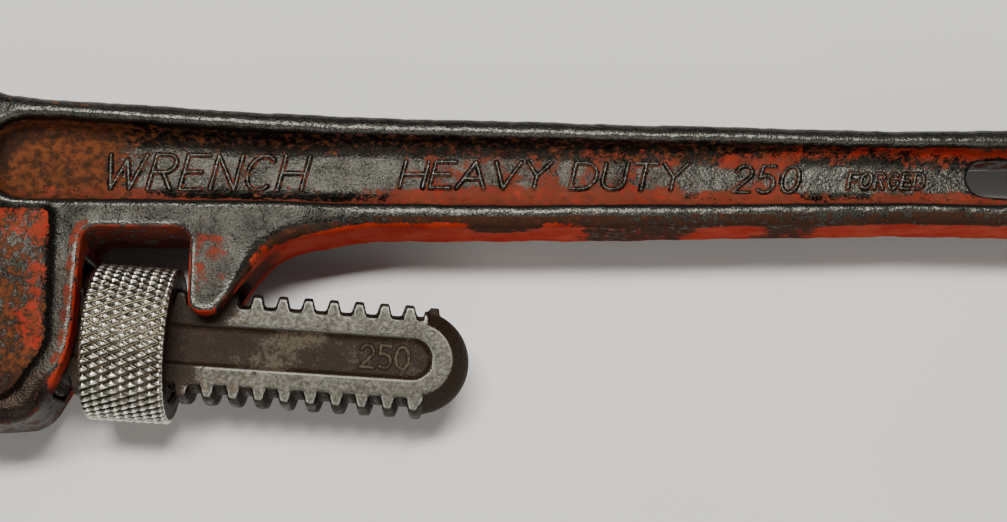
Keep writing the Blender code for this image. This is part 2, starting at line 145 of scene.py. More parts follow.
def both(first: np.ndarray, second: np.ndarray, radius: float) -> np.ndarray:
    """Intersect two solids, rounding the edge where they meet.

    Args:
        first: Signed distance to one solid, negative inside.
        second: Signed distance to the other.
        radius: Radius of the rounded edge in millimetres.

    Returns:
        Signed distance to what both hold.
    """
    along = np.maximum(first + radius, 0.0)
    across = np.maximum(second + radius, 0.0)
    return np.minimum(-radius, np.maximum(first, second)) + np.sqrt(along ** 2 + across ** 2)


def either(first: np.ndarray, second: np.ndarray, radius: float) -> np.ndarray:
    """Join two solids with a fillet of the radius. Arguments are as in both()."""
    return -both(-first, -second, radius)


def less(solid: np.ndarray, cavity: np.ndarray, radius: float) -> np.ndarray:
    """Cut a cavity out of a solid, rounding its mouth. Arguments are as in both()."""
    return both(solid, -cavity, radius)


def ease(value: np.ndarray, start: float, end: float) -> np.ndarray:
    """Rise smoothly from 0 at start to 1 at end.

    Args:
        value: Where to read the curve.
        start: Value at which it leaves 0.
        end: Value at which it reaches 1; it may be below start.

    Returns:
        The eased steps, between 0 and 1.
    """
    share = np.clip((value - start) / (end - start), 0.0, 1.0)
    return share * share * (3.0 - 2.0 * share)


@dataclass(frozen=True)
class Outline:
    """A closed outline of corners (x, y, radius), each turned into an arc of its radius."""

    corners: Sequence[Corner]
    arc_step: float = 0.2

    def points(self) -> np.ndarray:
        """Turn the corners into points, with each round corner as an arc.

        Returns:
            An (n, 2) array of places.
        """
        found: list[Vector] = []
        count = len(self.corners)
        for index, (x, y, radius) in enumerate(self.corners):
            here = Vector((x, y))
            if radius == 0.0:
                found.append(here)
                continue
            to_last = (Vector(self.corners[index - 1][:2]) - here).normalized()
            to_next = (Vector(self.corners[(index + 1) % count][:2]) - here).normalized()
            half = to_last.angle(to_next) / 2
            centre = here + (to_last + to_next).normalized() * (radius / math.sin(half))
            arm = here + to_last * (radius / math.tan(half)) - centre
            sweep = math.pi - 2 * half
            if to_last.cross(to_next) > 0:
                sweep = -sweep
            steps = max(2, math.ceil(abs(sweep) / self.arc_step))
            found += [centre + Matrix.Rotation(sweep * n / steps, 2) @ arm
                      for n in range(steps + 1)]
        return np.array([tuple(point) for point in found])

    def distance(self, x: np.ndarray, y: np.ndarray) -> np.ndarray:
        """Measure the signed distance to the outline, negative inside.

        Args:
            x: Places along X, shaped to broadcast with y.
            y: Places along Y.

        Returns:
            The distances, in the shape that x and y broadcast to.
        """
        x, y = np.broadcast_arrays(x, y)
        nearest = np.full(x.shape, 1e9)
        inside = np.zeros(x.shape, dtype=bool)
        points = self.points()
        for start, end in zip(points, np.roll(points, -1, axis=0)):
            run = end - start
            length_squared = float(run @ run)
            if length_squared < 1e-12:
                continue
            from_x, from_y = x - start[0], y - start[1]
            share = np.clip((from_x * run[0] + from_y * run[1]) / length_squared, 0.0, 1.0)
            gap = (from_x - share * run[0]) ** 2 + (from_y - share * run[1]) ** 2
            nearest = np.minimum(nearest, gap)
            if run[1] != 0.0:
                crosses = (start[1] > y) != (end[1] > y)
                at_x = start[0] + (y - start[1]) * run[0] / run[1]
                inside ^= crosses & (x < at_x)
        return np.where(inside, -1.0, 1.0) * np.sqrt(nearest)


def bar(left: float, right: float, low: float, high: float) -> Outline:
    """Return a plain rectangle as an outline."""
    return Outline(((left, low, 0.0), (right, low, 0.0), (right, high, 0.0), (left, high, 0.0)))


def slot(left: float, right: float, middle: float, half_width: float) -> Outline:
    """Return a slot with round ends along X as an outline."""
    return Outline(tuple((x, middle + side * half_width, half_width)
                         for x, side in ((left, -1), (right, -1), (right, 1), (left, 1))))


@dataclass
class Voxels:
    """A box of space, in steps, in which a distance field is turned into a mesh."""

    low: tuple[float, float, float]
    high: tuple[float, float, float]
    step: float

    def __post_init__(self) -> None:
        """Lay out the places along each axis, shaped to broadcast."""
        spans = [np.arange(a, b + self.step, self.step, dtype=np.float32)
                 for a, b in zip(self.low, self.high)]
        self.x = spans[0][:, None, None]
        self.y = spans[1][None, :, None]
        self.z = spans[2][None, None, :]

    def skin(self, field: np.ndarray) -> tuple[np.ndarray, np.ndarray]:
        """Find the surface where a field is zero.

        Args:
            field: Signed distances at every place, in millimetres.

        Returns:
            The surface's points in millimetres and its quads, facing out.
        """
        band = 3.0 * self.step
        values = np.ascontiguousarray(np.clip(field, -band, band), dtype=np.float32)
        grid = openvdb.FloatGrid(background=band)
        grid.copyFromArray(values, tolerance=0.0)
        points, quads = grid.convertToQuads(isovalue=0.0)
        points = points.astype(np.float64) * self.step + np.array(self.low)
        corners = points[quads]
        spans = np.cross(corners[:, 2] - corners[:, 0], corners[:, 3] - corners[:, 1])
        if float(np.sum(spans * corners.mean(axis=1))) < 0.0:
            quads = quads[:, ::-1]
        return points, quads

    def bend(self, field: np.ndarray, points: np.ndarray, reach: float) -> np.ndarray:
        """Measure how the surface bends near each point.

        Args:
            field: The field that the surface came from.
            points: Where to measure, in millimetres.
            reach: Half the width of the space that is looked at.

        Returns:
            A value for each point: above 0 on edges, below 0 in hollows.
        """
        width = max(1, round(reach / self.step))
        cap = 2.0 * reach
        smooth = np.clip(field, -cap, cap).astype(np.float32)
        sharp = smooth
        for axis in range(3):
            pad = [(width + 1, width) if n == axis else (0, 0) for n in range(3)]
            total = np.cumsum(np.pad(smooth, pad, mode="edge"), axis=axis, dtype=np.float64)
            last = np.take(total, range(2 * width + 1, total.shape[axis]), axis=axis)
            first = np.take(total, range(0, total.shape[axis] - 2 * width - 1), axis=axis)
            smooth = ((last - first) / (2 * width + 1)).astype(np.float32)
        places = (points - np.array(self.low)) / self.step
        places = np.clip(places, 0.0, np.array(field.shape) - 1.001)
        base = places.astype(int)
        share = places - base
        found = np.zeros(len(points))
        for corner in np.ndindex(2, 2, 2):
            i, j, k = (base + corner).T
            weight = np.prod(np.where(corner, share, 1.0 - share), axis=1)
            found += weight * (smooth[i, j, k] - sharp[i, j, k])
        return found / reach


# ---------------------------------------------------------------- meshes

def mesh_from(name: str, points: np.ndarray, faces: np.ndarray) -> bpy.types.Mesh:
    """Make a smooth mesh from arrays.

    Args:
        name: The mesh's name.
        points: An (n, 3) array of places in metres.
        faces: An (m, k) array of point numbers.

    Returns:
        The mesh.
    """
    mesh = bpy.data.meshes.new(name)
    sides = faces.shape[1]
    mesh.vertices.add(len(points))
    mesh.vertices.foreach_set("co", np.ascontiguousarray(points, dtype=np.float32).ravel())
    mesh.loops.add(faces.size)
    mesh.loops.foreach_set("vertex_index", np.ascontiguousarray(faces, dtype=np.int32).ravel())
    mesh.polygons.add(len(faces))
    starts = np.arange(0, faces.size, sides, dtype=np.int32)
    mesh.polygons.foreach_set("loop_start", starts)
    mesh.update(calc_edges=True)
    mesh.validate()
    mesh.shade_smooth()
    return mesh


def normals_of(mesh: bpy.types.Mesh) -> np.ndarray:
    """Read a mesh's vertex normals.

    Args:
        mesh: The mesh to read.

    Returns:
        An (n, 3) array of unit vectors.
    """
    found = np.empty(len(mesh.vertices) * 3, dtype=np.float32)
    mesh.vertex_normals.foreach_get("vector", found)
    return found.reshape(-1, 3)


def paint_on(mesh: bpy.types.Mesh, name: str, values: np.ndarray) -> None:
    """Store one number for each vertex, for a material to read.

    Args:
        mesh: The mesh that takes the values.
        name: The attribute's name.
        values: One value for each vertex.
    """
    layer = mesh.attributes.new(name, "FLOAT", "POINT")
    layer.data.foreach_set("value", np.ascontiguousarray(values, dtype=np.float32))


def ripple(points: np.ndarray, wavelength: float, seed: int, waves: int = 14) -> np.ndarray:
    """Return a smooth random swell, as a hammered or cast surface has.

    Args:
        points: Where to read it, in millimetres.
        wavelength: About how far apart its humps are.
        seed: Picks the pattern.
        waves: How many plane waves are added up.

    Returns:
        A value for each point, mostly between -1 and 1.
    """
    chance = np.random.default_rng(seed)
    total = np.zeros(len(points))
    for _ in range(waves):
        heading = chance.normal(size=3)
        heading *= math.tau / wavelength / np.linalg.norm(heading) * chance.uniform(0.7, 1.5)
        total += np.sin(points @ heading + chance.uniform(0.0, math.tau))
    return total / math.sqrt(waves)


@dataclass
class Piece:
    """A finished mesh with what it rides on, stands for and takes its finish from."""

    name: str
    mesh: bpy.types.Mesh
    body: Body
    slot: Slot
    material: bpy.types.Material
    replaces: tuple[str, ...] = ()

    def add(self) -> None:
        """Put the piece in the scene and report it."""
        self.mesh.materials.clear()
        self.mesh.materials.append(self.material)
        thing = bpy.data.objects.new(self.name, self.mesh)
        bpy.context.scene.collection.objects.link(thing)
        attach(thing, self.body.value)
        if self.replaces:
            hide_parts(*self.replaces)
        LOG.info("%s: %d points, rides on %s", self.name, len(self.mesh.vertices),
                 self.body.value)


def turned(profile: Sequence[tuple[float, float]], sides: int) -> tuple[np.ndarray, np.ndarray]:
    """Turn a closed or pole-to-pole profile of (along, radius) about the X axis.

    Args:
        profile: The profile; a radius of 0 at both ends closes it.
        sides: How many sides the turned form has.

    Returns:
        Its points in millimetres and its quads.
    """
    angles = np.arange(sides) * math.tau / sides
    smallest = 1e-4
    rings = [np.stack([np.full(sides, along), max(radius, smallest) * np.cos(angles),
                       max(radius, smallest) * np.sin(angles)], axis=1)
             for along, radius in profile]
    return np.concatenate(rings), ring_quads(len(profile), sides, wrap=False)


def ring_quads(rows: int, columns: int, wrap: bool) -> np.ndarray:
    """Number the quads of a grid whose columns close on themselves.

    Args:
        rows: How many rings there are.
        columns: How many points each ring has.
        wrap: Whether the last ring joins the first.

    Returns:
        The quads.
    """
    last = rows if wrap else rows - 1
    row, column = np.meshgrid(np.arange(last), np.arange(columns), indexing="ij")
    after, beside = (row + 1) % rows, (column + 1) % columns
    quads = np.stack([row * columns + column, row * columns + beside,
                      after * columns + beside, after * columns + column], axis=-1)
    return quads.reshape(-1, 4)


# ---------------------------------------------------------------- material kit

class Shading:
    """Builds one node material in a few readable steps."""

    def __init__(self, name: str) -> None:
        """Start a material with a Principled shader and coordinates in millimetres.

        Args:
            name: The material's name.
        """
        self.material = bpy.data.materials.new(name)
        self.material.use_nodes = True
        self.tree = self.material.node_tree
        self.shader = self.tree.nodes["Principled BSDF"]
        coordinates = self.tree.nodes.new("ShaderNodeTexCoord")
        scale = self.tree.nodes.new("ShaderNodeVectorMath")
        scale.operation = "SCALE"
        scale.inputs["Scale"].default_value = 1.0 / MM
        self.tree.links.new(coordinates.outputs["Object"], scale.inputs[0])
        self.place = scale.outputs["Vector"]

    def _feed(self, socket: bpy.types.NodeSocket, value: object) -> None:
        """Link an output to a socket, or set a constant on it.

        Args:
            socket: The input socket.
            value: An output socket, a colour or a number.
        """
        if isinstance(value, bpy.types.NodeSocket):
            self.tree.links.new(value, socket)
        elif isinstance(value, tuple) and len(value) == 3 and socket.type == "RGBA":
            socket.default_value = (*value, 1.0)
        else:
            socket.default_value = value

    def noise(self, scale: float, detail: float = 2.0,
              roughness: float = 0.5) -> bpy.types.NodeSocket:
        """Add a noise texture.

        Args:
            scale: Waves per millimetre.
            detail: How many finer octaves are added.
            roughness: How strong those octaves are.

        Returns:
            The noise value, about 0.5 on average.
        """
        node = self.tree.nodes.new("ShaderNodeTexNoise")
        node.inputs["Scale"].default_value = scale
        node.inputs["Detail"].default_value = detail
        node.inputs["Roughness"].default_value = roughness
        self._feed(node.inputs["Vector"], self.place)
        return node.outputs["Fac"]

    def value(self, name: str) -> bpy.types.NodeSocket:
        """Read a number that is stored on the mesh's vertices.

        Args:
            name: The attribute's name.

        Returns:
            The number.
        """
        node = self.tree.nodes.new("ShaderNodeAttribute")
        node.attribute_name = name
        return node.outputs["Fac"]

    def sum(self, first: object, second: object, operation: str = "ADD") -> bpy.types.NodeSocket:
        """Combine two numbers.

        Args:
            first: A number or the output that gives it.
            second: The other one.
            operation: The math operation, which is a sum unless named.

        Returns:
            The result.
        """
        node = self.tree.nodes.new("ShaderNodeMath")
        node.operation = operation
        self._feed(node.inputs[0], first)
        self._feed(node.inputs[1], second)
        return node.outputs[0]

    def times(self, first: object, second: object) -> bpy.types.NodeSocket:
        """Multiply two numbers."""
        return self.sum(first, second, "MULTIPLY")

    def step(self, value: object, start: float, end: float, low: float = 0.0,
             high: float = 1.0) -> bpy.types.NodeSocket:
        """Rise smoothly from one number to another.

        Args:
            value: Where to read the curve.
            start: Value at which it leaves low.
            end: Value at which it reaches high.
            low: The number before the rise.
            high: The number after it.

        Returns:
            The number between low and high.
        """
        node = self.tree.nodes.new("ShaderNodeMapRange")
        node.interpolation_type = "SMOOTHSTEP"
        for name, content in (("Value", value), ("From Min", start), ("From Max", end),
                              ("To Min", low), ("To Max", high)):
            self._feed(node.inputs[name], content)
        return node.outputs[0]

    def mask(self, likelihood: object, noise: object, spread: float,
             edge: float) -> bpy.types.NodeSocket:
        """Turn a likelihood into ragged patches, broken up by a noise with soft edges."""
        offset = self.times(self.sum(noise, 0.5, "SUBTRACT"), spread)
        return self.step(self.sum(likelihood, offset), 0.5 - edge, 0.5 + edge)

    def mix(self, share: object, first: object, second: object) -> bpy.types.NodeSocket:
        """Mix two colours.

        Args:
            share: How much of the second there is.
            first: The first colour.
            second: The second colour.

        Returns:
            The mixed colour.
        """
        node = self.tree.nodes.new("ShaderNodeMix")
        node.data_type = "RGBA"
        self._feed(node.inputs["Factor"], share)
        self._feed(node.inputs[6], first)
        self._feed(node.inputs[7], second)
        return node.outputs[2]

    def between(self, share: object, first: object, second: object) -> bpy.types.NodeSocket:
        """Mix two numbers.

        Args:
            share: How much of the second there is.
            first: The first number.
            second: The second number.

        Returns:
            The mixed number.
        """
        node = self.tree.nodes.new("ShaderNodeMix")
        node.data_type = "FLOAT"
        self._feed(node.inputs["Factor"], share)
        self._feed(node.inputs[2], first)
        self._feed(node.inputs[3], second)
        return node.outputs[0]

    def relief(self, height: object, depth: float) -> None:
        """Give the shader a bump.

        Args:
            height: The height, where 1 is the full depth.
            depth: The bump's depth in millimetres.
        """
        node = self.tree.nodes.new("ShaderNodeBump")
        node.inputs["Strength"].default_value = 1.0
        node.inputs["Distance"].default_value = depth * MM
        self._feed(node.inputs["Height"], height)
        self.tree.links.new(node.outputs["Normal"], self.shader.inputs["Normal"])

    def finish(self, colour: object, roughness: object, metallic: object) -> bpy.types.Material:
        """Feed the shader.

        Args:
            colour: The base colour.
            roughness: The roughness.
            metallic: How metallic the surface is.

        Returns:
            The finished material.
        """
        self._feed(self.shader.inputs["Base Color"], colour)
        self._feed(self.shader.inputs["Roughness"], roughness)
        self._feed(self.shader.inputs["Metallic"], metallic)
        return self.material


# ---------------------------------------------------------------- finishes

@dataclass(frozen=True)
class CastIron:
    """Old painted cast iron: bare and dark, worn bright on edges, with red paint and rust."""

    dark: Colour = (0.010, 0.0094, 0.0078)
    bare: Colour = (0.034, 0.0325, 0.028)
    worn: Colour = (0.072, 0.070, 0.061)
    paint: Colour = (0.25, 0.013, 0.005)
    paint_pale: Colour = (0.30, 0.035, 0.016)
    dirty_paint: Colour = (0.092, 0.031, 0.018)
    rust: Colour = (0.036, 0.0165, 0.0100)
    rust_pale: Colour = (0.125, 0.038, 0.015)
    # The darkest colour, for dirt and for painted shade in hollows and recesses.
    grime_and_shade: Colour = (0.018, 0.012, 0.009)
    relief_depth: float = 0.085
    gloss_index: float = 1.08

    def material(self) -> bpy.types.Material:
        """Build the material, which reads paint, rust, wear, dirt and a dark mask of dirt and
        painted shade from the mesh.

        Returns:
            The material.
        """
        kit = Shading("cast_iron")
        grain = kit.noise(2.6, 4.0, 0.65)
        broad = kit.noise(0.16, 3.0, 0.6)
        patch = kit.noise(0.42, 5.0, 0.62)
        flake = kit.noise(0.75, 6.0, 0.7)
        iron = kit.mix(kit.step(kit.sum(kit.times(broad, 0.5), kit.times(grain, 0.5)), 0.38, 0.62),
                       self.dark, self.bare)
        wear = kit.mask(kit.value("wear"), grain, 1.1, 0.24)
        iron = kit.mix(wear, iron, self.worn)
        bloom = kit.sum(flake, kit.times(kit.sum(kit.value("dirt"), 0.62, "SUBTRACT"), 0.4))
        rust_colour = kit.mix(kit.step(bloom, 0.40, 0.66), self.rust, self.rust_pale)
        rust = kit.mask(kit.value("rust"), flake, 2.0, 0.12)
        paint_colour = kit.mix(kit.step(broad, 0.35, 0.65), self.paint, self.paint_pale)
        dirt = kit.step(kit.sum(kit.value("dirt"), kit.sum(flake, 0.5, "SUBTRACT")), 0.35, 0.75)
        paint_colour = kit.mix(kit.times(dirt, 0.85), paint_colour, self.dirty_paint)
        ragged = kit.sum(kit.times(patch, 0.62), kit.times(grain, 0.38))
        paint = kit.mask(kit.value("paint"), ragged, 1.9, 0.09)
        colour = kit.mix(rust, iron, rust_colour)
        colour = kit.mix(paint, colour, paint_colour)
        # Darken where the mesh stores dirt and painted shade.
        grime_and_shade = kit.mask(kit.value("grime_and_shade"), kit.noise(0.5, 4.0, 0.6), 1.0, 0.25)
        colour = kit.mix(kit.times(grime_and_shade, 0.8), colour, self.grime_and_shade)
        cover = kit.sum(paint, kit.times(rust, 0.85), "MAXIMUM")
        metallic = kit.step(cover, 0.0, 1.0, 0.92, 0.0)
        roughness = kit.between(wear, kit.step(grain, 0.3, 0.7, 0.36, 0.50), 0.36)
        roughness = kit.between(cover, roughness, kit.between(paint, 0.8, 0.6))
        bumps = kit.sum(kit.noise(2.9, 1.0, 0.5), kit.times(kit.noise(0.8, 2.0), 1.2))
        height = kit.sum(kit.times(bumps, kit.between(paint, 1.0, 0.7)),
                         kit.times(kit.sum(paint, kit.times(rust, 0.6), "MAXIMUM"), 0.4))
        kit.relief(height, self.relief_depth)
        kit.shader.inputs["IOR"].default_value = self.gloss_index
        return kit.finish(colour, roughness, metallic)


@dataclass(frozen=True)
class GroundSteel:
    """The hook jaw's forged steel: silver ground flats, oily thread and a dirty groove."""

    silver: Colour = (0.038, 0.0362, 0.030)
    grey: Colour = (0.019, 0.0176, 0.0142)
    bright: Colour = (0.082, 0.079, 0.068)
    dark: Colour = (0.018, 0.013, 0.010)
    # Dark colour for dirt in the groove and for painted shade in hollows.
    grime_and_shade: Colour = (0.015, 0.0080, 0.0036)
    smear: Colour = (0.068, 0.053, 0.034)
    rust: Colour = (0.035, 0.017, 0.008)
    relief_depth: float = 0.045
    specular: float = 0.15

    def material(self) -> bpy.types.Material:
        """Build the material, which reads flat, wear, dirt with painted shade, smear and stain
        from the mesh.

        Returns:
            The material.
        """
        kit = Shading("ground_steel")
        lines = kit.noise(2.4, 1.0, 0.5)
        broad = kit.noise(0.3, 4.0, 0.6)
        fine = kit.noise(1.5, 2.0, 0.55)
        steel = kit.mix(kit.step(kit.sum(kit.times(broad, 0.5), kit.times(lines, 0.5)), 0.3, 0.7),
                        self.grey, self.silver)
        flat = kit.mask(kit.value("flat"), fine, 0.7, 0.12)
        colour = kit.mix(flat, kit.mix(kit.step(fine, 0.35, 0.7), self.dark, self.grey), steel)
        wear = kit.mask(kit.value("wear"), fine, 0.8, 0.15)
        colour = kit.mix(wear, colour, kit.mix(flat, self.silver, self.bright))
        # This dark mask holds dirt in the groove and painted shade in hollows, between the
        # thread's teeth and beside the nut.
        dirt = kit.mask(kit.value("grime_and_shade"), broad, 1.5, 0.16)
        speckle = kit.sum(kit.times(kit.noise(0.5, 4.0, 0.6), 0.55),
                          kit.times(kit.noise(2.2, 2.0, 0.6), 0.45))
        dirt_colour = kit.mix(kit.mask(kit.value("smear"), speckle, 1.9, 0.22), self.grime_and_shade,
                              self.smear)
        colour = kit.mix(kit.times(dirt, 0.92), colour, dirt_colour)
        stain = kit.mask(kit.value("stain"), kit.noise(0.8, 6.0, 0.7), 1.8, 0.15)
        colour = kit.mix(kit.times(stain, 0.6), colour, self.rust)
        roughness = kit.between(flat, kit.step(fine, 0.3, 0.7, 0.3, 0.45),
                                kit.step(fine, 0.3, 0.7, 0.36, 0.5))
        roughness = kit.between(dirt, roughness, 0.62)
        metallic = kit.step(kit.sum(dirt, kit.times(stain, 0.6), "MAXIMUM"), 0.0, 1.0, 1.0, 0.1)
        depth = kit.between(dirt, 0.35, 2.4)
        kit.relief(kit.times(kit.sum(lines, fine), depth), self.relief_depth)
        kit.shader.inputs["Specular IOR Level"].default_value = self.specular
        return kit.finish(colour, roughness, metallic)


@dataclass(frozen=True)
class KnurlSteel:
    """The nut: bright knurl tips, valleys darkened with painted shade and an oily bore."""

    bright: Colour = (0.63, 0.612, 0.535)
    # Painted shade for the knurl's grooves.
    shaded_valley: Colour = (0.105, 0.090, 0.065)
    oil: Colour = (0.045, 0.031, 0.020)
    relief_depth: float = 0.05

    def material(self) -> bpy.types.Material:
        """Build the material, which reads tip and oil from the mesh.

        Returns:
            The material.
        """
        kit = Shading("knurl_steel")
        fine = kit.noise(1.5, 5.0, 0.65)
        tip = kit.mask(kit.value("tip"), fine, 0.8, 0.22)
        # The grooves take the darker colour: painted shade.
        colour = kit.mix(tip, self.shaded_valley, self.bright)
        oil = kit.mask(kit.value("oil"), kit.noise(0.6, 4.0, 0.6), 0.8, 0.2)
        colour = kit.mix(oil, colour, self.oil)
        roughness = kit.between(oil, kit.step(fine, 0.3, 0.7, 0.22, 0.36), 0.4)
        kit.relief(fine, self.relief_depth)
        return kit.finish(colour, roughness, 1.0)


@dataclass(frozen=True)
class ToolSteel:
    """Dark hardened steel with worn edges, for the heel jaw, the pin and the springs."""

    name: str
    base: Colour
    edge: Colour
    roughness: float
    # Dark colour for dirt, and for painted shade in hollows.
    grime_and_shade: Colour = (0.02, 0.015, 0.01)
    shade: float = 0.45
    relief_depth: float = 0.07

    def material(self) -> bpy.types.Material:
        """Build the material, which reads wear and a dark mask of dirt and painted shade from the
        mesh.

        Returns:
            The material.
        """
        kit = Shading(self.name)
        fine = kit.noise(1.6, 5.0, 0.65)
        broad = kit.noise(0.35, 4.0, 0.6)
        shade = tuple(self.shade * part for part in self.base)
        colour = kit.mix(kit.step(broad, 0.36, 0.64), shade, self.base)
        wear = kit.mask(kit.value("wear"), fine, 0.9, 0.15)
        colour = kit.mix(wear, colour, self.edge)
        # Darken with dirt, and with painted shade in hollows.
        grime_and_shade = kit.mask(kit.value("grime_and_shade"), broad, 1.3, 0.2)
        colour = kit.mix(kit.times(grime_and_shade, 0.8), colour, self.grime_and_shade)
        kit.relief(fine, self.relief_depth)
        roughness = kit.step(fine, 0.3, 0.7, self.roughness - 0.06, self.roughness + 0.08)
        return kit.finish(colour, kit.between(grime_and_shade, roughness, 0.6), 0.95)


@dataclass(frozen=True)
class PaleFloor:
    """A plain pale tabletop."""

    colour: Colour = (0.62, 0.61, 0.59)
    shade: float = 0.97
    roughness: float = 0.75

    def material(self) -> bpy.types.Material:
        """Build the floor's material.

        Returns:
            The material.
        """
        kit = Shading("pale_floor")
        colour = kit.mix(kit.step(kit.noise(0.02, 2.0), 0.3, 0.7),
                         tuple(self.shade * part for part in self.colour), self.colour)
        return kit.finish(colour, self.roughness, 0.0)


BLUED_STEEL = ToolSteel("blued_spring", (0.045, 0.045, 0.048), (0.14, 0.14, 0.14), 0.36)
PIN_STEEL = ToolSteel("pin_steel", (0.070, 0.067, 0.060), (0.16, 0.157, 0.145), 0.40)
JAW_STEEL = ToolSteel("jaw_steel", (0.044, 0.042, 0.037), (0.20, 0.196, 0.18), 0.42)


# ---------------------------------------------------------------- shared shapes

def tooth_corners(start: Vector, end: Vector, count: int, depth: float) -> list[Corner]:
    """Cut saw teeth along a line, with their tips on the line.

    Args:
        start: Where the row starts.
        end: Where it ends.
        count: How many teeth there are.
        depth: How far the valleys lie to the line's left.

    Returns:
        The corners from start to end, all sharp.
    """
    tip_from, tip_to = 0.38, 0.52
    step = (end - start) / count
    left = Vector((-step.y, step.x)).normalized()
    corners: list[Corner] = []
    for index in range(count):
        tooth = start + step * index
        for point in (tooth + left * depth, tooth + step * tip_from, tooth + step * tip_to):
            corners.append((point.x, point.y, 0.0))
    last = end + left * depth
    corners.append((last.x, last.y, 0.0))
    return corners


def voxel_step(fine: float) -> float:
    return fine


@dataclass(frozen=True)
class ShankThread:
    """The hook jaw's right-hand thread, on the shank line."""

    pitch: float = 4.0
    crest_radius: float = 8.97
    root_radius: float = 7.14
    crest_at: float = 10.56
    crest_half: float = 0.68
    flank_run: float = 0.52
    crest_round: float = 0.22
    root_fillet: float = 0.2

    def from_crest(self, x: np.ndarray, angle: np.ndarray) -> np.ndarray:
        """Measure along the axis from the nearest crest.

        Args:
            x: Places along the shank line.
            angle: Angles about it, from +Y towards +Z.

        Returns:
            The distances, up to half the pitch.
        """
        lead = x - self.crest_at - self.pitch * angle / math.tau
        return np.abs((lead + self.pitch / 2) % self.pitch - self.pitch / 2)

    def field(self, x: np.ndarray, y: np.ndarray, z: np.ndarray) -> np.ndarray:
        """Measure the signed distance to an endless thread.

        Args:
            x: Places along the shank line.
            y: Places across it.
            z: Heights above it.

        Returns:
            The distances, in the shape that the places broadcast to.
        """
        radius = np.sqrt(y ** 2 + z ** 2)
        gap = self.from_crest(x, np.arctan2(z, y))
        depth = self.crest_radius - self.root_radius
        flank = ((gap - self.crest_half) * depth + (radius - self.crest_radius) * self.flank_run)
        flank = flank / math.hypot(depth, self.flank_run)
        ridge = both(radius - self.crest_radius, flank, self.crest_round)
        return either(ridge, radius - self.root_radius, self.root_fillet)

    def radius_at(self, gap: np.ndarray) -> np.ndarray:
        """Return the thread's radius at a distance from its crest.

        Args:
            gap: Distances along the axis from the nearest crest.

        Returns:
            The radii.
        """
        depth = self.crest_radius - self.root_radius
        fall = np.clip((gap - self.crest_half) / self.flank_run, 0.0, 1.0)
        return self.crest_radius - depth * fall


THREAD = ShankThread()


# ---------------------------------------------------------------- handle casting

@dataclass
class Skin:
    """A casting's surface, read at each of its points in the frame that it is modelled in."""

    points: np.ndarray
    facing: np.ndarray
    bend: np.ndarray
    broad: np.ndarray
    drift: np.ndarray

    def __post_init__(self) -> None:
        """Name the places, the depth from the middle plane and how far the skin faces up."""
        self.x, self.y, self.height = self.points.T
        self.z = np.abs(self.height)
        self.up = np.abs(self.facing[:, 2])


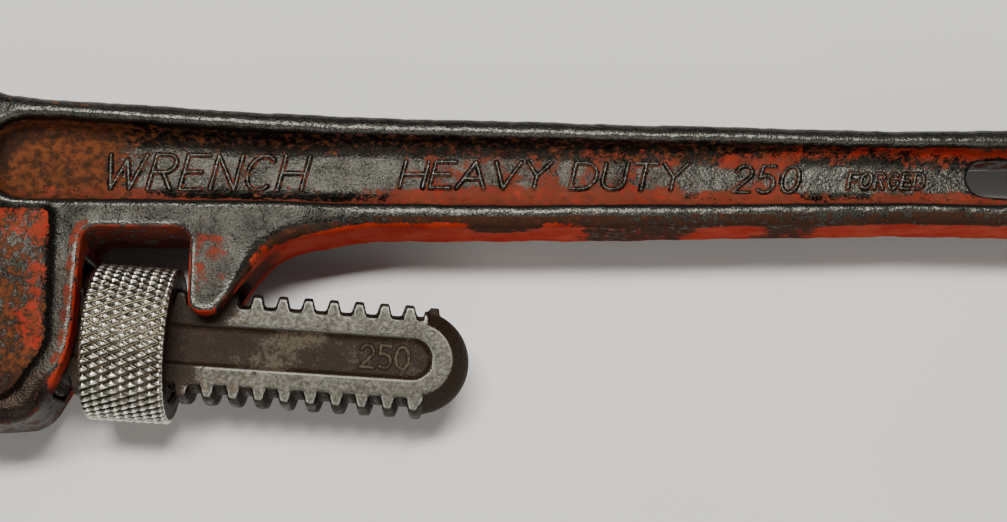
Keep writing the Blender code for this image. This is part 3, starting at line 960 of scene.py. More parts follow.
@dataclass
class HandleCasting:
    """The casting: an I-beam handle with the head, the strap, the nut notch and the nib."""

    places: Places
    material: bpy.types.Material
    head_half_width: float = 8.9
    beam_half_width: float = 7.6
    beam_from: float = 21.0
    beam_full: float = 33.0
    web_half_width: float = 2.75
    web_line: float = 26.5
    head_face: float = -37.3
    head_to: float = 16.0
    end_x: float = 162.0
    end_y: float = 27.3
    end_radius: float = 8.7
    draft: float = 0.05
    notch_centre: tuple[float, float] = (1.0, 5.0)
    notch_edge: float = 0.7
    beam_edge: float = 2.4
    pocket_draft: float = 0.2
    pocket_fillet: float = 2.3
    pocket_lip: float = 1.0
    panel_depth: float = 0.8
    panel_fillet: float = 0.8
    panel_lip: float = 1.6
    hang_hole: tuple[float, float] = (134.1, 152.5)
    hang_half: float = 2.8
    hang_lip: float = 0.9
    cut_edge: float = 0.3
    channel_half_width: float = 4.12
    channel_back: float = -9.4
    channel_front: float = 12.3
    window_from: float = -5.4
    window_front: float = 9.9
    seat_back: float = -30.6
    seat_low: float = 15.6
    seat_half: float = 4.5
    spring_bore: float = 3.4
    spring_bore_span: tuple[float, float] = (10.0, 22.6)
    # The cast skin's swells, each with a depth, a wavelength and a seed.
    swells: tuple[tuple[float, float, int], ...] = ((0.07, 7.0, 3), (0.03, 2.6, 5))
    # How far from the notch the swells, the draft and the round edges set in.
    swell_run: tuple[float, float] = (10.0, 20.0)
    draft_run: tuple[float, float] = (12.0, 24.0)
    edge_run: tuple[float, float] = (13.0, 20.0)
    near_reach: float = 1.1
    broad_reach: float = 2.6
    drift_length: float = 24.0
    drift_seed: int = 8
    room: tuple[Corner, Corner] = ((-38.3, -18.5, -9.9), (163.2, 46.0, 9.9))
    voxel: float = 0.36

    def outline(self) -> Outline:
        """Draw the side view of the casting.

        Returns:
            The outline, from the handle's end round the head and back.
        """
        return Outline((
            (self.end_x, self.end_y + self.end_radius - 0.6, 7.4),
            (118.0, 34.8, 60.0), (20.0, 36.45, 80.0), (-22.0, 38.8, 30.0), (-33.0, 44.6, 5.0),
            (self.head_face, 44.6, 1.5), (self.head_face, -11.63, 3.0), (-24.0, -14.2, 12.0),
            (-13.4, -13.4, 5.5), (-8.4, -2.0, 20.0), (-7.4, 16.9, 2.3), (9.0, 16.9, 2.3),
            (9.1, 3.7, 2.0), (13.2, 3.7, 1.9), (22.0, 14.8, 12.0), (36.0, 17.35, 20.0),
            (74.0, 17.75, 100.0), (122.0, 18.85, 60.0),
            (self.end_x, self.end_y - self.end_radius - 0.1, 8.0)))

    def pocket(self) -> Outline:
        """Draw the long recess beside the web.

        Returns:
            The outline, from the handle's end.
        """
        return Outline((
            (156.5, 31.7, 4.0), (118.0, 31.6, 60.0), (20.0, 32.9, 80.0), (-12.0, 34.8, 6.0),
            (-23.0, 34.8, 6.4), (-23.0, 21.5, 6.4), (60.0, 21.3, 100.0), (122.0, 22.2, 60.0),
            (156.5, 21.9, 4.0)))

    def panel(self) -> Outline:
        """Return the outline of the shallow panel on the side of the head."""
        return Outline(((-33.5, 20.0, 2.5), (-33.5, -8.0, 2.5), (-17.5, -9.0, 4.0),
                        (-12.3, -1.0, 6.0), (-12.6, 20.0, 1.5)))

    def half_width(self, x: np.ndarray) -> np.ndarray:
        """Return half the casting's width at places along the handle."""
        slimmer = self.head_half_width - self.beam_half_width
        return self.head_half_width - slimmer * ease(x, self.beam_from, self.beam_full)

    def field(self, space: Voxels) -> np.ndarray:
        """Shape the casting, with its cast recesses and its hang hole.

        Args:
            space: The space to fill.

        Returns:
            The signed distances at every place.
        """
        x, y, z = space.x, space.y, np.abs(space.z)
        width = self.half_width(x)
        from_notch = np.sqrt((x - self.notch_centre[0]) ** 2 + (y - self.notch_centre[1]) ** 2)
        draft = self.draft * ease(from_notch, *self.draft_run)
        rounder = self.beam_edge - self.notch_edge
        edge = self.notch_edge + rounder * ease(from_notch, *self.edge_run)
        body = both(self.outline().distance(x, y) + draft * z, z - width, edge)
        pocket = self.pocket().distance(x, y) + self.pocket_draft * (width - z)
        pocket = both(pocket, self.web_half_width - z, self.pocket_fillet)
        body = less(body, pocket, self.pocket_lip)
        panel_floor = self.head_half_width - self.panel_depth
        panel = both(self.panel().distance(x, y), panel_floor - z, self.panel_fillet)
        body = less(body, panel, self.panel_lip)
        hang = slot(*self.hang_hole, self.end_y, self.hang_half).distance(x, y)
        return self.machined(less(body, hang, self.hang_lip), space)

    def machined(self, body: np.ndarray, space: Voxels) -> np.ndarray:
        """Cut the shank's channel, the heel jaw's seat, the pin hole and the spring's bore.

        Args:
            body: The casting's signed distances.
            space: The space that they fill.

        Returns:
            The signed distances with the cuts made.
        """
        x, y, z = space.x, space.y, np.abs(space.z)
        cosine, sine = math.cos(self.places.shank.lean), math.sin(self.places.shank.lean)
        along, across = x * cosine - y * sine, x * sine + y * cosine
        front = np.where(along > self.window_from, self.window_front, self.channel_front)
        channel = np.maximum(self.channel_back - across, across - front)
        body = less(body, np.maximum(channel, z - self.channel_half_width), self.cut_edge)
        seat = np.maximum(x - self.seat_back, self.seat_low - y)
        body = less(body, np.maximum(seat, z - self.seat_half), self.cut_edge)
        hole = np.sqrt((x - PIN_AT[0]) ** 2 + (y - PIN_AT[1]) ** 2) - PIN_HOLE_RADIUS
        body = less(body, hole, self.cut_edge)
        low, high = self.spring_bore_span
        spring = np.maximum(np.sqrt((along - SPRING_X) ** 2 + z ** 2) - self.spring_bore,
                            np.maximum(low - across, across - high))
        return np.maximum(body, -spring)

    def build(self) -> Piece:
        """Mesh the casting and store where it is painted, rusty, worn, dirty and darkened by
        painted shade.

        Returns:
            The casting.
        """
        space = Voxels(*self.room, voxel_step(self.voxel))
        field = self.field(space)
        points, quads = space.skin(field)
        bend = space.bend(field, points, self.near_reach)
        broad = space.bend(field, points, self.broad_reach)
        mesh = mesh_from("handle_casting", self.places.handle.to_world(points), quads)
        facing = normals_of(mesh)
        swell = -sum(depth * (1.0 + ripple(points, length, seed))
                     for depth, length, seed in self.swells)
        from_nut = np.hypot(points[:, 0], points[:, 1])
        swell = np.minimum(swell, 0.0) * ease(from_nut, *self.swell_run)
        moved = points + facing * swell[:, None]
        world = self.places.handle.to_world(moved).astype(np.float32)
        mesh.vertices.foreach_set("co", world.ravel())
        mesh.update()
        drift = ripple(points, self.drift_length, self.drift_seed)
        skin = Skin(points, facing, bend, broad, drift)
        at = self.regions(skin)
        for name, likelihood in (("paint", self.paint), ("rust", self.rust),
                                 ("wear", self.wear), ("dirt", self.dirt),
                                 ("grime_and_shade", self.grime_and_shade)):
            paint_on(mesh, name, likelihood(skin, at))
        return Piece("handle_casting", mesh, Body.HANDLE, Slot.CASTING, self.material,
                     ("handle",))

    def regions(self, skin: Skin) -> dict[str, np.ndarray]:
        """Sort the surface into the parts that age in different ways.

        Args:
            skin: The casting's surface.

        Returns:
            Which points lie in each part, by the part's name.
        """
        x, y, z, up, side = skin.x, skin.y, skin.z, skin.up, skin.facing[:, 1]
        inside = self.pocket().distance(x, y) < 0.6
        recess = inside & (z < 6.9)
        on_floor = recess & (up > 0.9) & (z < self.web_half_width + 0.4)
        head = (x < self.head_to) & ~inside
        panel = (self.panel().distance(x, y) < 0.0) & (up > 0.8)
        notch = (np.abs(x - self.notch_centre[0]) < 12.5) & (y < 18.5) & (up < 0.85)
        return {
            "recess": recess,
            "floor": on_floor,
            "high_side": recess & (y >= self.web_line) & ~on_floor,
            "underside": (side < -0.35) & (y < 22.0) & (x > 14.0) & ~inside,
            "topside": (side > 0.45) & (y > 30.0) & ~inside,
            "crown": (z > 6.6) & (x > self.head_to),
            "head": head,
            "panel": panel,
            "cheek": head & ~panel & (up > 0.8),
            "notch": notch,
            "back": head & (up < 0.6) & ~notch,
            "deep": (z < self.channel_half_width + 0.3) & ~notch,
        }

    def climb(self, z: np.ndarray) -> np.ndarray:
        """Return how far places have left the recess's floor for its side, from 0 to 1."""
        return ease(z, self.web_half_width + 0.1, self.web_half_width + 1.9)

    def recess_paint(self, skin: Skin) -> np.ndarray:
        """Work out where the recess beside the web keeps its paint.

        Args:
            skin: The casting's surface.

        Returns:
            The likelihoods, which hold in the recess only.
        """
        x, y, drift = skin.x, skin.y, skin.drift
        # The floor keeps paint round the letters, near the hang hole and along both edges.
        letters = ease(np.abs(x - 64.5), 31.0, 17.0) + ease(np.abs(x - 99.5), 9.0, 3.0)
        letters = np.minimum(letters + 0.5 * ease(x, 110.0, 126.0), 1.0)
        floor = 0.05 + 0.36 * letters + 0.40 * ease(25.9 - y, 0.0, 1.7)
        floor = floor + 0.22 * ease(y, 27.8, 29.4) * ease(x, 78.0, 95.0)
        floor = floor - 0.3 * ease(x, 0.0, 12.0) * ease(x, 38.0, 30.0)
        # The lower side is mostly red; the upper side turns red towards the hang hole.
        low = 0.68 - 0.35 * ease(x, 2.0, -8.0) + 0.08 * drift
        high = 0.12 + 0.36 * ease(x, 45.0, 85.0) + 0.26 * ease(x, 90.0, 125.0)
        high = high - 0.2 * ease(self.pocket().distance(x, y), -1.8, -0.6) + 0.08 * drift
        return floor + self.climb(skin.z) * (np.where(y < self.web_line, low, high) - floor)

    def underside_paint(self, skin: Skin) -> np.ndarray:
        """Work out where the handle's underside keeps its paint.

        Args:
            skin: The casting's surface.

        Returns:
            The likelihoods, which hold on the underside only.
        """
        x, z, height = skin.x, skin.z, skin.height
        # Red up to the middle of the grip, bare from there, and red again near the end.
        run = 0.98 - 0.62 * ease(x, 64.0, 75.0) + 0.40 * ease(x, 106.0, 113.0)
        run = run + 0.55 * ease(np.abs(x - 94.5), 7.5, 2.5) - 0.35 * ease(x, 30.0, 22.0)
        run = run + 0.6 * ease(height, -4.5, -6.0) * ease(x, 92.0, 84.0)
        # One chip in the red run, and bare edges where the hand rubs.
        run = run - 0.7 * ease(np.abs(x - 58.0), 8.0, 3.0) * ease(height, 1.0, 3.5)
        run = run - 0.9 * ease(z, 6.45, 7.4) * ease(x, 20.0, 26.0)
        run = run - 0.9 * ease(height, 4.0, 6.2) * ease(x, 74.0, 80.0)
        return run + 0.05 * skin.drift

    def paint(self, skin: Skin, at: dict[str, np.ndarray]) -> np.ndarray:
        """Work out where the casting is painted.

        Args:
            skin: The casting's surface.
            at: Its parts.

        Returns:
            The likelihoods.
        """
        x, y, drift = skin.x, skin.y, skin.drift
        paint = np.full(len(x), 0.03)
        paint[at["recess"]] = self.recess_paint(skin)[at["recess"]]
        paint[at["underside"]] = self.underside_paint(skin)[at["underside"]]
        paint[at["topside"]] = (0.22 + 0.15 * drift)[at["topside"]]
        # The head's flat side is bare but for specks on the nib and a rim along the notch.
        specks = 0.40 * ease(np.hypot(x - 11.0, y - 12.0), 7.5, 3.5)
        notch_rim = 0.58 * ease(self.outline().distance(x, y), -2.6, -1.2)
        notch_rim = notch_rim * ease(x, -5.0, -7.0) * ease(x, -15.0, -12.0)
        paint[at["cheek"]] = (0.02 + specks + notch_rim)[at["cheek"]]
        rim = 0.28 * ease(self.panel().distance(x, y), -6.5, -1.5)
        panel = 0.35 + rim - 0.45 * ease(y, 2.0, -6.0) + 0.1 * drift
        paint[at["panel"]] = panel[at["panel"]]
        notch = 0.62 + 0.2 * ease(skin.z, 5.5, 8.0) - 0.05 * ease(y, 10.0, 15.0)
        paint[at["notch"]] = notch[at["notch"]]
        paint[at["back"]] = 0.42
        rubbed = 0.55 * ease(skin.bend, 0.03, 0.16) * ease(x, -14.0, -9.0)
        return paint - rubbed * np.where(at["notch"] | at["cheek"], 0.35, 1.0)

    def rust(self, skin: Skin, at: dict[str, np.ndarray]) -> np.ndarray:
        """Work out where the casting is rusty.

        Args:
            skin: The casting's surface.
            at: Its parts.

        Returns:
            The likelihoods.
        """
        end = ease(skin.x, 2.0, -7.0)
        rust = np.full(len(skin.x), 0.05)
        side = np.where(skin.y < self.web_line, 0.22, 0.46) + 0.4 * end
        recess = 0.12 + 0.72 * end + self.climb(skin.z) * (side - 0.12 - 0.72 * end)
        rust[at["recess"]] = recess[at["recess"]]
        rust[at["panel"]] = (0.60 + 0.1 * skin.drift)[at["panel"]]
        rust[at["topside"]] = 0.25
        rust[at["underside"]] = (0.77 + 0.15 * skin.drift)[at["underside"]]
        rust += 0.25 * ease(skin.broad, -0.06, -0.22)
        rust[at["crown"]] -= 0.1
        return rust

    def wear(self, skin: Skin, at: dict[str, np.ndarray]) -> np.ndarray:
        """Work out where the casting is worn bright.

        Args:
            skin: The casting's surface.
            at: Its parts.

        Returns:
            The likelihoods.
        """
        wear = 0.20 + 0.32 * ease(skin.bend, 0.03, 0.16) + 0.10 * ease(skin.broad, 0.05, 0.2)
        wear[at["floor"]] += (0.10 + 0.16 * ease(skin.x, 80.0, 110.0))[at["floor"]]
        shelter = 0.15 * self.climb(skin.z) * ease(skin.y, 25.5, 27.5)
        wear[at["recess"]] -= shelter[at["recess"]]
        wear[at["crown"]] -= 0.06
        return wear

    def dirt(self, skin: Skin, at: dict[str, np.ndarray]) -> np.ndarray:
        """Work out where the paint is dulled.

        Args:
            skin: The casting's surface.
            at: Its parts.

        Returns:
            The likelihoods.
        """
        dirt = np.full(len(skin.x), 0.25)
        dirt[at["recess"]] = 0.68
        clean = 0.24 * self.climb(skin.z) * ease(skin.y, 25.5, 27.5) * ease(skin.x, -5.0, 20.0)
        dirt[at["recess"]] -= clean[at["recess"]]
        dirt[at["underside"]] = 0.28
        dirt[at["cheek"]] = 0.68
        dirt[at["panel"]] = 0.55
        dirt[at["notch"]] = (0.35 + 0.3 * ease(skin.y, 10.0, 15.0))[at["notch"]]
        return dirt

    def grime_and_shade(self, skin: Skin, at: dict[str, np.ndarray]) -> np.ndarray:
        """Work out where the casting is darkened: painted shade in hollows and recesses, and
        darker patches on the head.

        Args:
            skin: The casting's surface.
            at: Its parts.

        Returns:
            The likelihoods.
        """
        x, y = skin.x, skin.y
        # Hollows are darkened: painted shade.
        grime_and_shade = 0.02 + 0.40 * ease(skin.broad, -0.06, -0.22)
        cheek = 0.42 * ease(x, -5.0, -9.0) * ease(y, 19.0, 12.0)
        # Painted shade under the upper flange towards the head and inside the shank's channel; the
        # head, the cheek beside the notch and the panel are darker towards their lower ends.
        for part, more in (("high_side", 0.25 * ease(x, 80.0, 50.0)),
                           ("head", 0.85 * ease(y, -4.5, -10.0)),
                           ("cheek", cheek),
                           ("deep", 0.8 * ease(y, 16.0, 12.0)),
                           ("panel", 0.6 * ease(y, 0.0, -8.0))):
            grime_and_shade[at[part]] += more[at[part]]
        return grime_and_shade


# ---------------------------------------------------------------- lettering

def arc(centre: tuple[float, float], radii: tuple[float, float], start: float,
        end: float) -> list[tuple[float, float]]:
    """Return points along an elliptic arc.

    Args:
        centre: The arc's centre.
        radii: Its radii along X and Y.
        start: Its start angle in degrees.
        end: Its end angle in degrees.

    Returns:
        The points, from start to end.
    """
    degrees_a_step = 18.0
    steps = max(4, round(abs(end - start) / degrees_a_step))
    angles = np.radians(np.linspace(start, end, steps + 1))
    return [(centre[0] + radii[0] * math.cos(angle), centre[1] + radii[1] * math.sin(angle))
            for angle in angles]


# Each character's width and strokes, for a cap height of 1.
STROKES: dict[str, tuple[float, list]] = {
    " ": (0.30, []),
    "A": (0.74, [[(0.0, 0.0), (0.37, 1.0), (0.74, 0.0)], [(0.14, 0.36), (0.60, 0.36)]]),
    "C": (0.66, [arc((0.37, 0.5), (0.37, 0.5), 48, 312)]),
    "D": (0.66, [[(0.0, 0.0), (0.0, 1.0), *arc((0.26, 0.5), (0.40, 0.5), 90, -90), (0.0, 0.0)]]),
    "E": (0.56, [[(0.56, 1.0), (0.0, 1.0), (0.0, 0.0), (0.56, 0.0)], [(0.0, 0.52), (0.46, 0.52)]]),
    "F": (0.54, [[(0.54, 1.0), (0.0, 1.0), (0.0, 0.0)], [(0.0, 0.52), (0.44, 0.52)]]),
    "G": (0.72, [[*arc((0.37, 0.5), (0.37, 0.5), 48, 335), (0.71, 0.46), (0.42, 0.46)]]),
    "H": (0.64, [[(0.0, 0.0), (0.0, 1.0)], [(0.64, 0.0), (0.64, 1.0)], [(0.0, 0.5), (0.64, 0.5)]]),
    "N": (0.64, [[(0.0, 0.0), (0.0, 1.0), (0.64, 0.0), (0.64, 1.0)]]),
    "O": (0.74, [arc((0.37, 0.5), (0.37, 0.5), 0, 360)]),
    "R": (0.60, [[(0.0, 0.0), (0.0, 1.0), *arc((0.32, 0.75), (0.26, 0.25), 90, -90), (0.0, 0.5)],
                 [(0.28, 0.5), (0.60, 0.0)]]),
    "T": (0.64, [[(0.0, 1.0), (0.64, 1.0)], [(0.32, 1.0), (0.32, 0.0)]]),
    "U": (0.62, [[(0.0, 1.0), *arc((0.31, 0.32), (0.31, 0.32), 180, 360), (0.62, 1.0)]]),
    "V": (0.70, [[(0.0, 1.0), (0.35, 0.0), (0.70, 1.0)]]),
    "W": (0.98, [[(0.0, 1.0), (0.24, 0.0), (0.49, 0.85), (0.74, 0.0), (0.98, 1.0)]]),
    "Y": (0.66, [[(0.0, 1.0), (0.33, 0.48), (0.66, 1.0)], [(0.33, 0.48), (0.33, 0.0)]]),
    "0": (0.58, [arc((0.29, 0.5), (0.29, 0.5), 0, 360)]),
    "2": (0.56, [[*arc((0.28, 0.72), (0.27, 0.28), 165, -40), (0.0, 0.0), (0.58, 0.0)]]),
    "5": (0.56, [[(0.52, 1.0), (0.09, 1.0), (0.05, 0.58),
                  *arc((0.26, 0.32), (0.29, 0.32), 120, -135)]]),
}


@dataclass(frozen=True)
class Wording:
    """One line of generic wording on the casting: its words, place and letter sizes."""

    name: str
    words: str
    left: float
    middle: float
    height: float
    wide: float


WORDINGS = (
    Wording("word", "WRENCH", -6.0, 27.2, 5.7, 1.04),
    Wording("grade", "HEAVY DUTY", 41.3, 27.2, 4.3, 1.34),
    Wording("size", "250", 95.0, 26.9, 4.4, 1.1),
    Wording("make", "FORGED", 114.0, 26.8, 2.5, 0.95),
)
# Where the letters stand: on the web's floor and on the shank's groove.
WEB_BASE = 2.72
GROOVE_BASE = 2.86

LetterLooks = tuple[tuple[str, float, float], ...]


@dataclass
class RaisedLetters:
    """A line of raised letters, cast on a face or in a groove, drawn in even strokes.

    Each of the looks is a name, its likelihood at the letters' foot and at their crest.
    """

    name: str
    words: str
    place: Place
    left: float
    middle: float
    height: float
    base: float
    body: Body
    slot: Slot
    material: bpy.types.Material
    flipped: bool = False
    slant: float = 0.24
    wide: float = 1.0
    gap: float = 0.26
    stroke: float = 0.32
    relief: float = 0.30
    side_slope: float = 0.8
    stroke_at: float = 0.17
    sunk: float = 0.3
    rounding: float = 0.22
    margin: float = 0.8
    voxel: float = 0.11
    # The darkening at the letters' foot is painted shade in the crease.
    looks: LetterLooks = (
        ("paint", 0.44, 0.16), ("rust", 0.52, 0.15), ("wear", 0.34, 0.42), ("dirt", 0.62, 0.6),
        ("grime_and_shade", 0.05, 0.0))

    def segments(self) -> list[tuple[np.ndarray, np.ndarray]]:
        """Lay the strokes out along the line, slanted.

        Returns:
            The start and end of each straight stroke, in millimetres.
        """
        found = []
        pen = self.left
        for letter in self.words:
            width, strokes = STROKES[letter]
            for line in strokes:
                points = np.array(line)
                x = pen + (points[:, 0] * self.wide + points[:, 1] * self.slant) * self.height
                y = self.middle + (points[:, 1] - 0.5) * self.height
                path = np.stack([x, y], axis=1)
                found += list(zip(path, path[1:]))
            pen += (width * self.wide + self.gap) * self.height
        return found

    def build(self) -> Piece:
        """Mesh the strokes as rounded ridges that stand on the base.

        Returns:
            The line of letters.
        """
        lines = self.segments()
        ends = np.array(lines).reshape(-1, 2)
        low, high = ends.min(axis=0) - self.margin, ends.max(axis=0) + self.margin
        space = Voxels((low[0], low[1], self.base - 0.6),
                       (high[0], high[1], self.base + self.relief + 0.4),
                       voxel_step(self.voxel))
        x, y = space.x[:, :, 0], space.y[:, :, 0]
        nearest = np.full((x.shape[0], y.shape[1]), 1e6)
        for start, end in lines:
            run = end - start
            share = ((x - start[0]) * run[0] + (y - start[1]) * run[1]) / max(run @ run, 1e-9)
            share = np.clip(share, 0.0, 1.0)
            gap = (x - start[0] - share * run[0]) ** 2 + (y - start[1] - share * run[1]) ** 2
            nearest = np.minimum(nearest, gap)
        slope = self.side_slope * (space.z - self.base - self.stroke_at)
        side = np.sqrt(nearest)[:, :, None] - self.stroke + slope
        top = np.maximum(space.z - self.base - self.relief, self.base - self.sunk - space.z)
        points, quads = space.skin(both(side, top, self.rounding))
        share = (points[:, 2] - self.base) / self.relief
        if self.flipped:
            points[:, 1] = 2 * self.middle - points[:, 1]
            points[:, 2] = -points[:, 2]
        mesh = mesh_from(self.name, self.place.to_world(points), quads)
        for name, foot, crest in self.looks:
            paint_on(mesh, name, foot + (crest - foot) * ease(share, 0.35, 0.9))
        return Piece(self.name, mesh, self.body, self.slot, self.material)


def lettering(places: Places, iron: bpy.types.Material,
              forged: bpy.types.Material) -> list[RaisedLetters]:
    """Set out the wording on both sides of the handle and of the shank.

    Args:
        places: The wrench's local frames.
        iron: The casting's finish.
        forged: The hook jaw's finish.

    Returns:
        The lines, front side first.
    """
    lines = []
    for side, flipped in (("front", False), ("back", True)):
        lines += [RaisedLetters(f"{line.name}_{side}", line.words, places.handle, line.left,
                                line.middle, line.height, WEB_BASE, Body.HANDLE, Slot.CASTING,
                                iron, flipped, wide=line.wide) for line in WORDINGS]
        lines.append(RaisedLetters(
            f"shank_size_{side}", "250", places.shank, 35.6, 0.1, 3.5, GROOVE_BASE,
            Body.HOOK, Slot.HOOK, forged, flipped, slant=0.0, gap=0.22, stroke=0.28,
            looks=(("flat", 0.0, 0.1), ("wear", 0.1, 0.38), ("grime_and_shade", 0.9, 0.55),
                   ("smear", 0.3, 0.6), ("stain", 0.2, 0.2))))
    return lines


# ---------------------------------------------------------------- jaws

@dataclass
class HookJaw:
    """The hook jaw: the toothed hook and its flat-sided threaded shank in one forging."""

    places: Places
    material: bpy.types.Material
    shank_half: float = 3.67
    shank_from: float = -50.0
    shank_edge: float = 0.16
    plain_to: float = -13.4
    thread_to: float = 45.7
    dome_from: float = 45.0
    dome_end: float = 52.6
    dome_radius: float = 8.3
    bevel_from: float = 45.8
    bevel_flat: float = 1.0
    bevel_rise: float = 0.97
    stub_span: tuple[float, float] = (44.0, 47.5)
    stub_half: float = 1.5
    stub_radius: float = 8.75
    groove_half: float = 3.2
    groove_depth: float = 0.8
    groove_draft: float = 0.6
    groove_ends: tuple[float, float] = (-42.0, 46.7)
    groove_edge: float = 0.3
    head_half: float = 7.5
    head_fillet: float = 2.2
    face_middle: tuple[float, float] = (-50.663, 24.9)
    face_reach: tuple[float, float] = (12.5, 17.5)
    face_lean: float = 5.1
    teeth: int = 12
    tooth_depth: float = 1.3
    bend_reach: float = 0.6
    room: tuple[Corner, Corner] = ((-68.0, -10.4, -8.2), (53.4, 46.4, 8.2))
    voxel: float = 0.24

    def outline(self) -> Outline:
        """Draw the side view of the hook's head, with its teeth.

        Returns:
            The outline, from the foot of the teeth round the hook and back down the teeth.
        """
        lean = math.radians(self.face_lean)
        middle = Vector(self.face_middle)
        run = Vector((-math.sin(lean), math.cos(lean)))
        low, high = middle - run * self.face_reach[0], middle + run * self.face_reach[1]
        edge = THREAD.crest_radius + 0.02
        crown = [(low.x - self.tooth_depth, edge, 2.0), (-45.5, edge, 0.0), (-45.5, -edge, 0.0),
                 (-57.0, -edge, 12.0), (-66.5, -2.0, 9.0), (-66.5, 24.0, 22.0),
                 (-58.5, 45.0, 4.5), (high.x - 0.3, 45.0, 1.6)]
        return Outline(tuple(crown + tooth_corners(high, low, self.teeth, -self.tooth_depth)))

    def shank(self, space: Voxels) -> np.ndarray:
        """Shape the shank: plain, then threaded, with a bevelled dome for its end.

        Args:
            space: The space to fill.

        Returns:
            The signed distances at every place.
        """
        x, y, side = space.x, space.y, space.z
        z = np.abs(side)
        radius = np.sqrt(y ** 2 + side ** 2)
        ridge = THREAD.field(x, y, side)
        thread = both(ridge, x - self.thread_to, 0.7)
        plain = both(radius - THREAD.crest_radius, x - self.plain_to, 0.7)
        dome_at = self.dome_end - self.dome_radius
        dome = np.sqrt((x - dome_at) ** 2 + radius ** 2) - self.dome_radius
        dome = both(dome, self.dome_from - x, 0.4)
        shank = either(either(thread, plain, 0.4), dome, 0.3)
        shank = both(shank, self.shank_from - x, 0.2)
        end = np.sqrt(np.maximum(x - dome_at, 0.0) ** 2 + y ** 2) - self.dome_radius
        bevel = end + self.bevel_rise * (z - self.bevel_flat)
        bevel = bevel / math.hypot(1.0, self.bevel_rise)
        shank = less(shank, np.maximum(-bevel, self.bevel_from - x), 0.8)
        stub_from, stub_to = self.stub_span
        stub = np.maximum(both(ridge, x - stub_to, 0.4),
                          np.maximum(stub_from - x, z - self.stub_half))
        stub = np.maximum(stub, radius - self.stub_radius)
        return both(either(shank, stub, 0.4), z - self.shank_half, self.shank_edge)

    def field(self, space: Voxels) -> np.ndarray:
        """Shape the whole hook jaw: the shank with its grooves, and the hook.

        Args:
            space: The space to fill.

        Returns:
            The signed distances at every place.
        """
        x, y, z = space.x, space.y, np.abs(space.z)
        shank = self.shank(space)
        groove = slot(*self.groove_ends, 0.0, self.groove_half).distance(x, y)
        groove = both(groove + self.groove_draft * (self.shank_half - z),
                      self.shank_half - self.groove_depth - z, self.groove_edge)
        shank = less(shank, groove, self.groove_edge)
        edge = 0.4 + 1.7 * ease(x, -51.5, -56.0)
        head = both(self.outline().distance(x, y), z - self.head_half, edge)
        return either(head, shank, self.head_fillet)

    def build(self) -> Piece:
        """Mesh the hook jaw and store where it is bright, worn, dirty and darkened by painted
        shade.

        Returns:
            The hook jaw.
        """
        space = Voxels(*self.room, voxel_step(self.voxel))
        field = self.field(space)
        points, quads = space.skin(field)
        bend = space.bend(field, points, self.bend_reach)
        mesh = mesh_from("hook_jaw", self.places.shank.to_world(points), quads)
        for name, values in self.looks(points, normals_of(mesh), bend).items():
            paint_on(mesh, name, values)
        return Piece("hook_jaw_forging", mesh, Body.HOOK, Slot.HOOK, self.material,
                     ("hook_jaw",))

    def looks(self, points: np.ndarray, facing: np.ndarray,
              bend: np.ndarray) -> dict[str, np.ndarray]:
        """Work out where the hook jaw is ground, worn, dirty, darkened by painted shade, smeared
        and stained.

        Args:
            points: Places on it, in the shank line's frame.
            facing: Unit normals there.
            bend: How the surface bends there.

        Returns:
            Likelihoods from 0 to 1 by name.
        """
        x, y, z = points[:, 0], points[:, 1], np.abs(points[:, 2])
        up = np.abs(facing[:, 2])
        shank = x > -45.0
        on_flat = shank & (up > 0.93) & (z > self.shank_half - 0.25)
        in_groove = shank & (np.abs(y) < self.groove_half + 0.2) & (z < self.shank_half - 0.1)
        in_groove &= z > self.shank_half - self.groove_depth - 0.3
        in_groove &= x < self.groove_ends[1] + 0.2
        thread_side = shank & (up < 0.6)
        beyond = (x > 45.6) & ~on_flat & ~in_groove

        flat = np.where(on_flat, 1.0, 0.0)
        flat[~shank] = (0.25 + 0.4 * ease(up, 0.8, 0.98))[~shank]
        wear = 0.05 + 0.8 * ease(bend, 0.03, 0.16)
        wear[thread_side] = (0.05 + 0.55 * ease(bend, 0.02, 0.12))[thread_side]
        wear[beyond] *= 0.4
        # Hollows are darkened with painted shade. The flats beside the nut are darker: dirt, with
        # the nib's shadow painted further along on the side toward the nib. The groove is full of
        # dirt.
        grime_and_shade = 0.12 + 0.5 * ease(-bend, 0.03, 0.14)
        grime_and_shade[on_flat] = (0.10 + 0.62 * ease(x - 0.5 * y, 16.0, 10.0))[on_flat]
        grime_and_shade[in_groove] = 1.0
        # The thread's flanks are darker: oil, with painted shade between the teeth; the dome
        # beyond the thread is darker.
        grime_and_shade[thread_side] += 0.40
        grime_and_shade[beyond] = 0.75
        # The groove's dirt is smeared paler across its middle and near its end.
        smear = np.zeros(len(x))
        smear[in_groove] = (0.12 + 0.42 * ease(np.abs(x - 23.0 - y), 9.0, 1.0)
                            + 0.15 * ease(x, 26.0, 36.0))[in_groove]
        stain = 0.15 + 0.22 * ease(x, 30.0, 10.0)
        return {"flat": flat, "wear": wear, "grime_and_shade": grime_and_shade, "smear": smear, "stain": stain}


